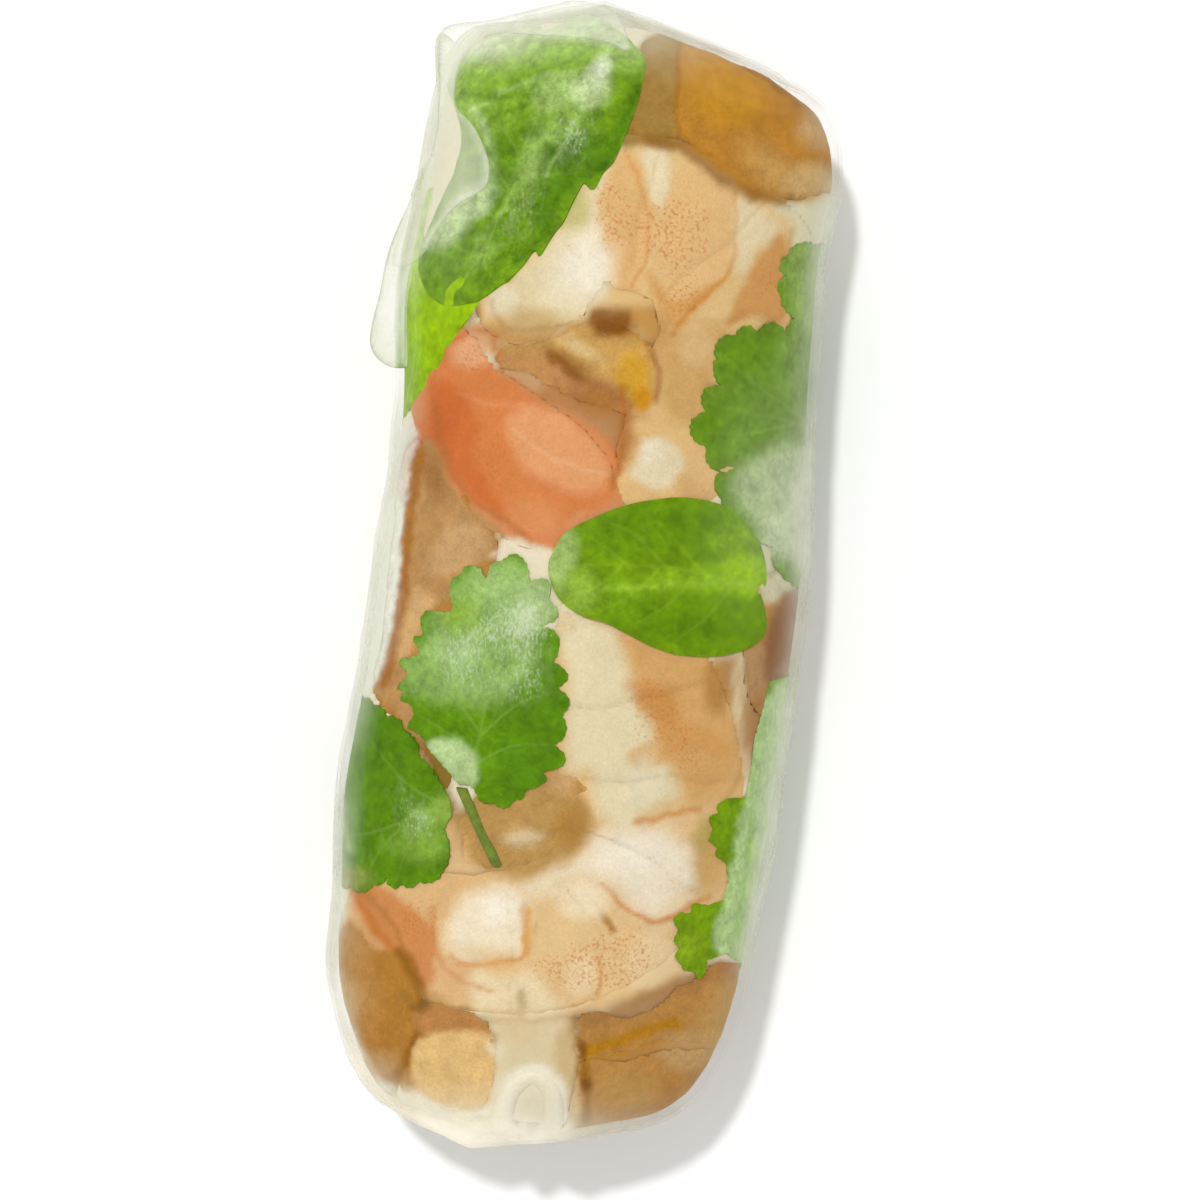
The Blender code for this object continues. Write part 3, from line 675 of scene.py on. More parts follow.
            (21, -39.8), (17.8, -41.4), (15, -43.5), (10.3, -45.5), (4.9, -47.3))),
        ("#c6a474", 0.6, 1, (16.4, -48.6, 3, 2, 25)),
        ("#b57c1e", 0.9, 0.5, 1.3, ((5.5, -50.1), (9.9, -48.2), (14.9, -46.1))),
        ("#c2985a", 0.6, 1.2, (10.4, -53.2, 3, 2)),
        ("#946020", 0.85, 0.4, 0.8, ((5.1, -49.1), (6.1, -53), (6.3, -56.6), (5.2, -58.7))),
        ("#78480f", 0.9, 0.4, (5.4, -49.8, 0.6, 0.7)),
        ("#78480f", 0.9, 0.4, (6.2, -53.1, 0.6, 0.6)),
        ("#b06a2a", 0.7, 0.8, (21, -44.1, 1.2, 2)),
        ("#b0803c", 0.5, 0.4, 0.6, ((5.2, -58.9), (10.9, -57.5), (16.1, -54.4), (20.3, -50.3))),
        ("#c39a5c", 0.85, 1.4, (20, -45.5, 2.4, 4)),
    ),
    # the brown lines along the edges and joins of the pieces, and the dark spots where they meet, are painted
    # shade; the first two orange lines are the lower prawn's stripes
    "creases": (
        ("#c88350", 0.6, 0.4, 0.5, ((-12.4, -36.6), (-11.6, -40.4), (-9.2, -43.4), (-5.0, -44.6))),
        ("#d08c54", 0.6, 0.4, 0.4, ((-2.4, -35.4), (-2.0, -38.0), (-2.2, -40.6), (-5.0, -41.7),
            (-9.1, -41.9))),
        ("#8a6236", 0.5, 0.6, 0.5, ((0, 45.8), (2.5, 45.9), (5.9, 45.7), (8.8, 44.4), (11.4, 42.8))),
        ("#9a7448", 0.5, 0.5, 0.4, ((-12.5, 27.7), (-11.1, 25.3), (-7.7, 25.2), (-3.5, 26.1))),
        ("#a8683c", 0.6, 0.5, 0.5, ((-17.4, 16.1), (-15.3, 10.2), (-12.2, 6.5), (-8.7, 5.1), (-5.7, 2.9))),
        ("#8f6a3e", 0.5, 0.6, 0.5, ((-12.3, -46.6), (-6.2, -46.9), (-0.1, -46.6), (3.9, -45.8))),
        ("#8a5a2c", 0.6, 0.5, 0.5, ((3.9, -45.8), (4.7, -48.2), (5.2, -50))),
        ("#a0682e", 0.6, 0.5, 0.5, ((-20.3, -34.2), (-16.9, -38.1), (-12.9, -43.9), (-12, -46.5))),
        ("#b07c48", 0.5, 0.5, 0.4, ((16.8, -7.4), (19, -13.9), (19.2, -18.8), (17.7, -22))),
        ("#b98650", 0.5, 0.5, 0.4, ((18.6, 38.2), (18.7, 32.1), (17.8, 28.3), (13.1, 26))),
        ("#6f4a22", 0.6, 0.5, (-12.6, -47.2, 0.9, 0.6)),
        ("#b98a50", 0.6, 0.5, (-11.1, -45.8, 1.6, 0.6, -15)),
    ),
    "noodleArch": (
        ("#d9bf92", 0.7, 1.4, (-1.6, -47.6, 2.6, 1.6)),
        ("#d2b688", 0.6, 1.2, (3.4, -50.0, 1.0, 3.0)),
        ("#e9dec2", 0.9, 0.6, ((-3.1, -58.8), (-3.3, -53.9), (-2, -52), (0.4, -51.1), (3, -52.1),
            (4.1, -54.4), (4.4, -59))),
        ("#f3ead6", 0.9, 0.6, 1.5, ((-1.8, -57.8), (-2.1, -55), (-1.5, -53.1), (0.2, -52), (2.2, -52.6),
            (3.2, -54.5), (3.7, -58.4))),
        ("#dfd0ae", 0.8, 0.6, (0.6, -56, 1.2, 1.7)),
        ("#e9dcbe", 0.7, 0.8, (-3.8, -50.4, 1, 1)),
    ),
    "mintLeaf": (
        ("#94b84c", 0.85, 1, ((-19, 53.4), (-10.9, 56.7), (-3.6, 57.1), (0.3, 55), (-0.7, 52.8), (-5.7, 53.5),
            (-10.5, 52.4), (-15.1, 50.1), (-17.3, 46.8), (-18.5, 47.9))),
        ("#88ad40", 0.7, 2, (-14.3, 48.3, 3.6, 3.6)),
        ("#517b06", 0.85, 1, ((-7.3, 46), (-2.5, 46.5), (-0.8, 48.5), (1.8, 52.4), (1, 48.7), (-1.5, 42.9),
            (-3.4, 40.5), (-5, 40.7), (-6.9, 35.6), (-8.7, 35.4), (-9.2, 40.3))),
        ("#476f02", 0.8, 0.8, (-6.2, 43.9, 2.2, 1.3, 20)),
        ("#476f02", 0.6, 0.8, (-9.8, 46, 1.6, 1)),
        ("#5c8412", 0.7, 1, (-12.8, 39.3, 1.6, 3.4)),
        ("#6b932a", 0.8, 1, ((-19.7, 31.8), (-14.8, 34.8), (-8.7, 35.4), (-8.5, 33), (-12.4, 29.5),
            (-16.3, 26.5), (-18.9, 27.9))),
        ("#a4bd74", 0.7, 1.2, (-10.3, 42.3, 1.4, 2.6, -20)),
        ("#8fae52", 0.6, 1.2, (-7.5, 47.8, 2.2, 1.6)),
        ("#b9cc98", 0.85, 0.8, ((-16.3, 47.5), (-14.7, 44.6), (-14.8, 40.9), (-17.4, 37.9), (-19.8, 33),
            (-18.3, 32.6), (-15.5, 35.3), (-13.3, 38.6), (-13.4, 42.3), (-14.7, 45.8))),
        ("#c3d3a6", 0.75, 0.8, ((-15.1, 55.9), (-6.9, 59.8), (-2.5, 58.7), (-0.9, 55.2), (-3.4, 55.6),
            (-5.9, 55.6), (-10.8, 55.4))),
        ("#e3ebd2", 0.9, 0.8, (-3.6, 52.4, 1, 1.8, -30)),
        ("#c9dab0", 0.7, 0.7, (-5.5, 50.6, 1.6, 0.8, -20)),
        ("#b0c87c", 0.5, 0.4, 0.5, ((-16.1, 47.5), (-12.7, 50.3), (-8, 52.1), (-4.4, 53))),
        ("#557f0a", 0.6, 0.4, 0.5, ((-14.2, 47.1), (-10.7, 48.7), (-7, 49.1), (-2.7, 48.3))),
        ("#a9c778", 0.6, 0.35, 0.4, ((-8.1, 41.6), (-6.3, 44.9), (-5.1, 48), (-4.1, 50.6))),
        ("#9dbf5e", 0.6, 0.35, 0.4, ((-14.7, 33.6), (-12.1, 38.1), (-10.6, 41.4), (-9.7, 44.5))),
        # painted shade: the two darkest lines just inside the leaf's right edges
        ("#4e7806", 0.7, 0.4, 0.6, ((-5, 40.7), (-6.6, 38.7), (-8, 34.3), (-10.2, 31.9))),
        ("#4a7404", 0.7, 0.4, 0.6, ((0.8, 52.9), (0.5, 49.8), (-0.8, 45.4), (-2.4, 42.5))),
        ("#5a850e", 0.6, 0.4, 0.5, ((-17.5, 49.2), (-15, 48.9), (-11.4, 49.6), (-7.2, 50.9))),
        ("#4f7a06", 0.6, 0.7, (-12.7, 44.2, 1.8, 1, 30)),
        ("#a3c168", 0.6, 0.7, (-7.9, 45.3, 1.2, 0.6, -30)),
        ("#93b556", 0.6, 0.7, (-13.9, 32.4, 1.8, 0.8, 40)),
        ("#588206", 0.6, 0.7, (-13, 35, 1.4, 1)),
        ("#a8c476", 0.75, 1, (-7.5, 50.5, 2.8, 1.8, 20)),
        ("#bccf94", 0.7, 1, (-4, 50.8, 2, 2)),
        ("#5f8810", 0.7, 1.2, (-12.5, 42.5, 2.2, 3)),
        ("#cfdbb0", 0.75, 1, (-15.5, 54.6, 3.2, 1.4, 10)),
    ),
    "basilLeaf": (
        ("#a9c276", 0.75, 0.9, ((-4.3, 0.9), (-3.3, 3.1), (-1.6, 4.5), (-0.6, 2.5), (-1.1, -0),
            (-1.8, -2.2))),
        ("#5f8a12", 0.7, 1, ((1.9, 7), (10.3, 8.6), (14.1, 7.7), (13, 5.7), (8.3, 4), (3.5, 2.9),
            (1.1, 2.7))),
        ("#8cb42c", 0.8, 1.1, ((2.7, -0.9), (7.4, 0.9), (13.4, 2.1), (18.4, 3.8), (19.4, 0.2), (14.9, -0.8),
            (10, -0.7), (5.2, -1.5))),
        ("#94bc22", 0.8, 1, (17.1, 1.8, 2.2, 2)),
        ("#6a9220", 0.7, 1, ((2.8, -2.7), (11.3, -1.8), (18.6, -1.1), (19.2, -4.1), (16.7, -6.5),
            (11.8, -6.7), (6.8, -5.3))),
        ("#5c850e", 0.7, 1, (12.8, -3.8, 3, 1, 10)),
        ("#86ae24", 0.6, 1, (16.1, 5.4, 1.6, 1.4)),
        ("#7ea31e", 0.6, 0.8, (5.5, 1.3, 3, 1)),
        ("#a6c650", 0.4, 0.5, 0.3, ((19.1, 0.7), (13.6, 0.4), (7.5, -0.4), (2.7, -1.2))),
        ("#98ba48", 0.8, 1, (0.2, -1.8, 1.8, 2.2)),
    ),
    "corianderCentre": (
        ("#94b565", 0.75, 1.2, ((-13.2, -1.8), (-7.3, 0.9), (-3.4, -1.5), (-2.2, -4.4), (-4.1, -6.5),
            (-4.3, -10.8), (-7, -14.1), (-11.8, -15.2), (-17.2, -13.9), (-18.1, -10.9), (-15.9, -8.9),
            (-15.5, -6.4))),
        ("#aac680", 0.6, 1.4, (-7.6, -2.5, 3.6, 2, -20)),
        ("#aecb8a", 0.6, 1.2, (-12.5, -9.1, 2.4, 1.8)),
        ("#558205", 0.8, 0.9, ((-5.9, -12.8), (-3.7, -10.7), (-0.1, -10.3), (0.7, -18.2), (-2.2, -22.5),
            (-5.3, -25), (-6.9, -21.5), (-6.8, -16.5))),
        ("#5d8a0e", 0.6, 0.8, (-11.8, -15.8, 2.4, 1.4)),
        ("#b4ca90", 0.9, 0.6, ((-14.6, -19.3), (-11.5, -18.5), (-9.2, -20), (-8.9, -23.2), (-11.1, -22.8),
            (-13.2, -21))),
        ("#b4cc8c", 0.75, 1, (-4.2, -3.6, 2, 2.6)),
        ("#92b640", 0.7, 1, (0, -2.6, 1.4, 1.8)),
        ("#88aa38", 0.7, 1, (-12, -6, 2, 1.8)),
    ),
    "corianderLeft": (
        ("#9bb868", 0.6, 0.8, (-14.3, -26.8, 1.2, 0.8, -20)),
        ("#9ab46e", 0.7, 0.5, 0.9, ((-23.4, -24.7), (-22.9, -27.1), (-21.3, -30.9))),
        ("#4f7a02", 0.6, 1, (-18.1, -20.1, 2.6, 3)),
        ("#84a744", 0.8, 1.2, (-13.8, -29.8, 3, 2)),
        ("#a09c58", 0.7, 1, (-21, -34, 2, 1.2)),
        ("#90ad4c", 0.8, 1, (-12, -26, 1.4, 1.6)),
    ),
    "corianderRight": (
        ("#a8ba8a", 0.92, 1.2, ((16, 12.8), (20.6, 15.7), (24.1, 11.8), (25, 2.6), (21.1, 4.7), (17.8, 7.1),
            (15.4, 10))),
        ("#90aa5c", 0.75, 0.8, ((17.9, 36), (21.6, 36.3), (22.3, 28.7), (19.6, 28.2))),
        ("#86a05a", 0.6, 1, (20, 24.8, 1.6, 4)),
        ("#628b22", 0.6, 1, (15, 24.9, 2.4, 2)),
        ("#5f8a1c", 0.6, 0.8, (12, 16.1, 1.6, 2.6)),
        ("#b9c4a0", 0.7, 1, (22, 8.5, 1, 4)),
        ("#bccc9f", 0.85, 1, (20.4, 6, 2, 2.4)),
    ),
    "lettuceLeft": (
        ("#bcd478", 0.8, 0.8, ((-20.3, 37.9), (-18.5, 38.1), (-20.4, 33), (-21.3, 29.2), (-22.7, 27.8))),
        ("#86b010", 0.6, 0.8, (-20, 19.5, 1.4, 2.6)),
        ("#aed05c", 0.8, 1, (-20.6, 30, 1.4, 3)),
    ),
    "lettuceRight": (
        ("#afc98a", 0.95, 0.5, ((19.7, -16), (23.1, -14.4), (23.3, -23), (23.1, -28.5), (22.4, -34.8),
            (21.8, -39.1), (17.7, -37.4), (18.6, -32.1), (18.9, -26.5), (19.5, -21.6))),
        ("#8cba4c", 0.8, 0.35, 0.6, ((21.1, -19.5), (20.5, -24.5), (20.4, -30.1), (20, -35.6))),
        ("#d3dcb8", 0.7, 0.4, 0.5, ((21.9, -20.7), (22, -26.8), (21.6, -33.6))),
        ("#a9c585", 0.95, 0.5, ((19.4, -13.9), (21.4, -10), (23.5, -9.8), (24, -23.4), (20.5, -23.8))),
        ("#8fae2c", 0.7, 0.7, (15.6, -37.6, 1.5, 1.8)),
    ),
}

# materials

litGain = 1.2  # a face lit from above reads this much brighter than its own colour
skinHaze = (0.004, 0.004, 0.014)  # light that the wet skin adds over what it covers, red, green and blue


def linear(hexColour):
    parts = [int(hexColour[i : i + 2], 16) / 255 for i in (1, 3, 5)]
    return tuple(p / 12.92 if p <= 0.04045 else ((p + 0.055) / 1.055) ** 2.4 for p in parts) + (1.0,)


def lit(hexColour):
    # the material's own colour for what should read as this one under the studio light
    return tuple(max(c - haze, 0.002) / litGain for c, haze in zip(linear(hexColour), skinHaze)) + (1.0,)


def addNode(tree, kind, settings=None, inputs=None):
    node = tree.nodes.new("ShaderNode" + kind)
    for name, value in (settings or {}).items():
        setattr(node, name, value)
    for name, value in (inputs or {}).items():
        if isinstance(value, bpy.types.NodeSocket):
            tree.links.new(value, node.inputs[name])
        else:
            node.inputs[name].default_value = value
    return node


def newMaterial(name):
    material = bpy.data.materials.new(name)
    material.use_nodes = True
    tree = material.node_tree
    return material, tree, tree.nodes["Principled BSDF"]


def paintedFood(name, looks):
    # the painted tone, mottled and grained, then tints: each a painted mask, a colour, the size of the grain
    # that breaks it up, where it starts and is full, and its strength
    material, tree, shader = newMaterial(name)
    where = addNode(tree, "TexCoord").outputs["Object"]
    colour = addNode(tree, "Attribute", {"attribute_name": "tone"}).outputs["Color"]
    for size, low, high in looks["mottling"]:
        cloud = addNode(tree, "TexNoise", inputs={
            "Vector": where, "Scale": 1000 / size, "Detail": 3.0, "Roughness": 0.6})
        shade = addNode(tree, "MapRange", inputs={
            "Value": cloud.outputs["Fac"], "From Min": 0.3, "From Max": 0.7, "To Min": low, "To Max": high})
        valued = addNode(tree, "HueSaturation", inputs={"Color": colour, "Value": shade.outputs["Result"]})
        colour = valued.outputs["Color"]
    for mask, tint, grain, lowest, highest, strength in looks["tints"]:
        painted = addNode(tree, "Attribute", {"attribute_name": mask}).outputs["Fac"]
        if grain:
            stretch = (1.0, 0.5 if mask == "frost" else 1.0, 1.0)
            slanted = addNode(tree, "Mapping", inputs={
                "Vector": where, "Rotation": (0, 0, 0.6), "Scale": stretch})
            fleck = addNode(tree, "TexNoise", inputs={
                "Vector": slanted.outputs["Vector"], "Scale": 1000 / grain, "Detail": 3.0, "Roughness": 0.65})
            broken = addNode(tree, "Math", {"operation": "ADD"}, {0: painted, 1: fleck.outputs["Fac"]})
            painted = broken.outputs[0]
        cover = addNode(tree, "MapRange", {"interpolation_type": "SMOOTHSTEP"}, {
            "Value": painted, "From Min": lowest, "From Max": highest, "To Max": strength})
        tinted = addNode(tree, "Mix", {"data_type": "RGBA"}, {
            0: cover.outputs["Result"], 6: colour, 7: lit(tint)})
        colour = tinted.outputs[2]
    fine = addNode(tree, "TexNoise", inputs={"Vector": where, "Scale": 1000 / looks["grain"], "Detail": 2.0})
    lift = addNode(tree, "Bump", inputs={
        "Height": fine.outputs["Fac"], "Strength": looks["bump"], "Distance": 0.0002})
    tree.links.new(colour, shader.inputs["Base Color"])
    tree.links.new(lift.outputs["Normal"], shader.inputs["Normal"])
    shader.inputs["Roughness"].default_value = looks["roughness"]
    shader.inputs["Specular IOR Level"].default_value = looks["specular"]
    shader.inputs["IOR"].default_value = 1.4
    return material


# herbs

leafDepth = 1.15
mint = {
    "outline": (
        (-18.5, 53.1), (-16.8, 54.2), (-14.1, 55), (-10.8, 56.2), (-9, 55.8), (-6.7, 57.7), (-3.6, 57.4),
        (-1, 55.9), (0, 55), (1.3, 53.6), (1.2, 51.1), (0.8, 48.6), (0.1, 46.1), (-0.8, 43.2), (-1.8, 41.8),
        (-2.7, 39.9), (-3.7, 40.5), (-4.2, 39.6), (-5.5, 36.5), (-6.6, 34.4), (-7.6, 32.5), (-8.2, 33.0),
        (-9.4, 31.1), (-11.6, 28.9), (-13.6, 27.3), (-16.3, 26.5), (-17.7, 26.8), (-18.9, 28.2), (-19.6, 30),
        (-19.7, 31.8), (-18.9, 34.4), (-17.9, 37.6), (-17, 40.6), (-16.6, 43.8), (-17.4, 46.5), (-18.6, 49.1),
        (-18.8, 51)),
    "veins": (
        ((-16.8, 28.0), (-13.6, 34.0), (-11.6, 41.0), (-9.4, 48.0), (-5.0, 55.0)),
        ((-13.9, 33.4), (-9.4, 34.4)), ((-12.4, 37.6), (-6.4, 37.4)), ((-11.6, 41.2), (-4.4, 42.0)),
        ((-10.4, 45.0), (-2.2, 46.6)), ((-9.2, 48.6), (0.2, 51.4)), ((-14.4, 32.4), (-18.6, 33.6)),
        ((-12.9, 36.4), (-17.6, 40.6)), ((-12.0, 39.8), (-16.4, 46.4)), ((-11.0, 43.4), (-16.4, 51.6)),
        ((-9.2, 48.2), (-13.4, 54.4)), ((-7.4, 51.4), (-8.8, 56.4))),
    "crinkle": 0.42,
    "tone": "#6f9526",
    "frost": ((-9.4, 40.0, 2.6, 5.0, 0.35), (-7.0, 47.0, 5.0, 3.0, 0.3), (-3.6, 52.0, 1.6, 3.0, 0.45),
        (-12.0, 36.0, 3.0, 3.0, 0.3), (-14.6, 32.0, 3.0, 3.0, 0.3), (-5.0, 44.0, 2.4, 4.0, 0.3)),
}
basil = {
    "outline": (
        (-3.4, 0.6), (-3.0, 2.2), (-2.0, 4.2), (0.4, 5.8), (3.0, 7.2), (6.0, 8.3), (10.4, 9.1), (15.0, 8.4),
        (17.6, 6.0), (18.7, 3.5), (19.1, 1.2), (18.7, 0.1), (19.2, -1.6), (19.5, -3.6), (18.7, -5.3),
        (16.0, -6.8), (12.0, -7.3), (8.8, -6.9), (5.8, -5.8), (3.4, -4.8), (0.8, -4.3), (-1.4, -3.2),
        (-2.8, -1.5)),
    "veins": (
        ((19.0, 0.2), (12.0, 1.6), (4.0, 1.4), (-3.0, 0.6)),
        ((16.6, 0.8), (12.8, 5.6), (9.6, 8.2)), ((13.0, 1.4), (9.2, 5.2), (5.6, 7.4)),
        ((9.2, 1.6), (5.2, 4.8), (1.6, 6.0)), ((5.0, 1.4), (1.6, 3.6), (-1.2, 4.4)),
        ((16.4, 0.6), (14.0, -3.0), (10.4, -6.2)), ((12.4, 1.4), (9.8, -2.0), (5.8, -5.0)),
        ((8.4, 1.5), (5.6, -1.6), (1.8, -4.0)), ((4.4, 1.4), (2.0, -1.0), (-1.2, -2.8))),
    "crinkle": 0.22,
    "tone": "#6d9218",
    "frost": ((12.0, 2.0, 5.0, 3.0, 0.15), (-2.0, 2.0, 2.0, 3.0, 0.2)),
}
corianderCrinkle = 0.16
corianderCentre = {
    "outline": (
        (-7.1, 1.4), (-6, 0.7), (-5.4, -0.4), (-5.2, -1.2), (-3.8, -0.8), (-3, -1.6), (-3, -3), (-2.1, -3.9),
        (-2.2, -4.9), (-3.6, -5.7), (-2.5, -6), (-1.5, -6.9), (-1.6, -8.6), (-2, -9.3), (-0.9, -9.8),
        (-0.2, -10.8), (-1.1, -12), (-0.3, -12.5), (0.2, -13.4), (-0.5, -14.7), (0.1, -15.8), (-0.1, -17.1),
        (-1, -17.9), (0.2, -18.7), (0.2, -19.8), (-1.8, -20.8), (-1.3, -21.5), (-2.5, -22.4), (-3.4, -22.8),
        (-3.6, -23.7), (-4.5, -24), (-5.3, -24.8), (-6.5, -24.5), (-7.8, -24.4), (-8.9, -23), (-10.5, -22.7),
        (-11.3, -21.9), (-12.2, -21.1), (-13.7, -19.7), (-14.9, -18.1), (-16.2, -17.6), (-15.7, -16.2),
        (-16.3, -15), (-17.2, -14.8), (-16.8, -13.9), (-17.5, -13.5), (-16.6, -12), (-17.6, -10.8),
        (-16, -10.2), (-15.8, -9.5), (-16.5, -8.3), (-15.6, -7.9), (-15.9, -6.4), (-15.4, -5.4),
        (-13.6, -5.4), (-12.8, -4.8), (-13.3, -3.4), (-13.2, -2), (-12.2, -1.1), (-12, -0.4), (-10.6, -0.5),
        (-9.7, -1.6), (-9.2, 0.1), (-8.2, 0.6)),
    "veins": (
        ((-9.6, -24.0), (-8.8, -16.0), (-8.2, -8.0), (-7.4, 0.4)),
        ((-9.3, -21.0), (-5.4, -18.6), (-1.0, -18.0)), ((-9.0, -18.0), (-5.0, -14.0), (-0.8, -12.4)),
        ((-8.7, -14.5), (-4.8, -10.0), (-2.0, -8.0)), ((-9.4, -20.0), (-12.6, -17.8), (-16.2, -16.2)),
        ((-9.1, -17.4), (-12.6, -13.8), (-16.8, -12.0)), ((-8.8, -14.0), (-12.2, -9.8), (-15.4, -7.0)),
        ((-8.5, -10.6), (-10.8, -6.0), (-12.2, -2.4)), ((-8.3, -8.6), (-6.0, -5.0), (-4.0, -3.0))),
    "crinkle": corianderCrinkle,
    "tone": "#5d8a0c",
    "frost": ((-8.0, -6.0, 5.0, 4.0, 0.42), (-12.6, -11.0, 4.0, 5.0, 0.42), (-6.6, -13.0, 4.0, 3.0, 0.3),
        (-11.6, -19.6, 3.4, 2.4, 0.35), (-4.6, -4.4, 3.0, 4.0, 0.32), (-3.6, -11.0, 3.0, 4.0, 0.26)),
}
corianderLeft = {
    "notches": (
        (-19.6, -15.6, 0.2), (-18.5, -16.9, 0.3), (-16.8, -18.0, 0.12), (-14.9, -20.6, 0.05),
        (-11.6, -24.4, 0.1), (-10.9, -26.5, -0.1), (-11.5, -28.2, 0.16), (-11.3, -32.2, 0.24),
        (-13.6, -33.3, 0.36), (-15.2, -33.8, 0.4), (-16.9, -33.3, 0.3), (-18.0, -34.1, 0.36),
        (-20.1, -34.3, 0.3), (-22.4, -33.8, 0.36), (-24.6, -33.0, 0.4), (-27.0, -30.6, 0.4),
        (-26.8, -27.4, 0.4), (-28.4, -24.4, 0.4), (-26.6, -21.8, 0.36), (-26.4, -18.2, 0.36),
        (-23.0, -15.8, 0.2)),
    "veins": (((-11.6, -25.2), (-15.0, -27.0), (-19.0, -29.0), (-24.0, -30.0)),
        ((-12.2, -25.4), (-16.4, -23.6), (-20.4, -19.0)), ((-13.4, -26.4), (-15.4, -30.0), (-16.2, -34.0)),
        ((-12.6, -26.0), (-12.6, -30.0), (-12.4, -33.0)), ((-15.4, -27.0), (-18.2, -31.0), (-19.4, -34.4))),
    "crinkle": corianderCrinkle,
    "tone": "#5a8608",
    "frost": ((-14.0, -28.0, 3.0, 3.0, 0.4), (-16.6, -24.0, 3.0, 4.0, 0.3), (-18.0, -31.0, 2.4, 2.4, 0.25)),
}
corianderRight = {
    "notches": (
        (17.9, 35.2, 0.3), (20.4, 36.2, 0.2), (23.4, 36.8, 0.4), (25.6, 34.0, 0.45), (29.4, 34.2, 0.45),
        (31.0, 30.4, 0.45), (34.6, 28.4, 0.5), (33.4, 24.2, 0.45), (36.4, 20.6, 0.5), (34.2, 16.6, 0.45),
        (35.6, 12.0, 0.5), (31.8, 9.8, 0.45), (31.6, 5.4, 0.45), (27.4, 5.0, 0.4), (25.0, 1.5, 0.3),
        (19.4, 5.0, 0.1), (15.6, 7.6, 0.14), (14.0, 9.4, 0.4), (14.9, 12.8, 0.42), (11.9, 14.6, 0.46),
        (11.4, 18.2, 0.4), (12.9, 21.0, 0.2), (12.0, 23.8, 0.36), (13.7, 26.3, 0.46), (15.9, 26.6, 0.5),
        (18.4, 26.9, 0.08), (19.2, 28.7, 0.12), (17.7, 31.0, 0.3), (18.2, 33.0, 0.3)),
    "veins": (((24.0, 17.0), (18.6, 20.4), (13.0, 24.4)), ((22.6, 17.8), (17.4, 18.6), (11.0, 19.4)),
        ((21.6, 18.6), (18.0, 23.6), (15.0, 27.0)), ((20.8, 18.0), (15.6, 16.4), (10.8, 16.2)),
        ((22.6, 17.0), (16.8, 13.8), (11.6, 12.4)), ((24.0, 19.0), (21.0, 26.0), (18.6, 34.0))),
    "crinkle": corianderCrinkle,
    "tone": "#6b8f30",
    "frost": ((19.6, 12.0, 4.0, 6.0, 0.2),),
}
stalk = {"path": ((-10.4, -23.6), (-9.0, -26.0), (-7.4, -28.6), (-5.8, -31.2)), "radius": (0.62, 0.55),
    "depth": 1.5, "rings": 24, "tone": "#71833c"}


def leafMaterial(name, looks):
    # a wet herb leaf: mottled greens, lighter veins, and milky flecks where the paper clings
    tints = [
        ("vein", looks["vein"], 0, 0.1, 1.0, looks["veinStrength"]),
        ("frost", looks["veil"], 0.9, 0.7, 1.5, 0.55),
        ("frost", "#e6edd9", 0.28, 0.9, 1.25, 0.5),
    ]
    mottling = looks.get("mottling", ((2.2, 0.78, 1.22), (0.7, 0.84, 1.16), (0.25, 0.9, 1.1)))
    return paintedFood(name, {
        "mottling": mottling, "tints": tints, "grain": 0.35, "bump": 0.4, "roughness": 0.5, "specular": 0.05})


def veinMask(sheet, veins, width):
    mask = np.zeros(len(sheet))
    for vein in veins:
        line = smoothCurve(vein, 16, closed=False) if len(vein) > 2 else vein
        far, along = pathDistance(sheet, unrolled(line))[:2]
        mask = np.maximum(mask, np.exp(-((far / width) ** 2)) * (1 - 0.5 * along))
    return mask


def makeLeaf(name, looks, outline, material, slot, *nodes):
    # a leaf blade, puffed between its veins, painted and frosted
    depth, crinkle = looks.get("depth", leafDepth), looks["crinkle"]

    def top(sheet, inner):
        far = veinMask(sheet, looks["veins"], 0.9)
        puffs = flatNoise(sheet, 2.6, 3) + 0.5 * flatNoise(sheet, 1.2, 5)
        edge = 0.05 * np.exp(-((inner / 0.5) ** 2))
        return depth + crinkle * (0.55 * far - 0.5 * puffs) + edge

    obj, sheet, plan, inner = layPiece(name, outline, 0.22, 0.3, top, leafCovers, depth + 1.3 * crinkle + 0.6)
    paint(obj, "vein", veinMask(sheet, looks["veins"], 0.22))
    paint(obj, "frost", blobs(plan, looks.get("frost", ())))
    paintTone(obj, washed(np.tile(lit(looks["tone"])[:3], (len(plan), 1)), plan, name))
    finishPiece(obj, material, slot, *nodes)
    print("leaf", name, len(obj.data.polygons))


mintMaterial = leafMaterial("freshMintLeaf", {
    "vein": "#a8c46a", "veinStrength": 0.2, "veil": "#b3c58a",
    "mottling": ((1.7, 0.68, 1.3), (0.6, 0.82, 1.18), (0.25, 0.88, 1.12))})
basilMaterial = leafMaterial("freshBasilLeaf", {"vein": "#a0c342", "veinStrength": 0.22, "veil": "#a9c079"})
corianderMaterial = leafMaterial("freshCorianderLeaf", {
    "vein": "#93b258", "veinStrength": 0.3, "veil": "#a8bd84"})

makeLeaf("mintLeaf", mint, smoothCurve(mint["outline"], 170), mintMaterial, "mint", "mint_leaf")
makeLeaf("basilLeaf", basil, smoothCurve(basil["outline"], 120), basilMaterial, "basil", "basil_leaf")
centreLine = toothed(smoothCurve(corianderCentre["outline"], 260), 0.7, 0.2)
leftLine, rightLine = [toothed(scalloped(leaf["notches"])) for leaf in (corianderLeft, corianderRight)]
makeLeaf("corianderCentre", corianderCentre, centreLine, corianderMaterial, "coriander", "coriander_sprig")
makeLeaf("corianderLeft", corianderLeft, leftLine, corianderMaterial, "coriander")
makeLeaf("corianderRight", corianderRight, rightLine, corianderMaterial, "coriander", "coriander_right")

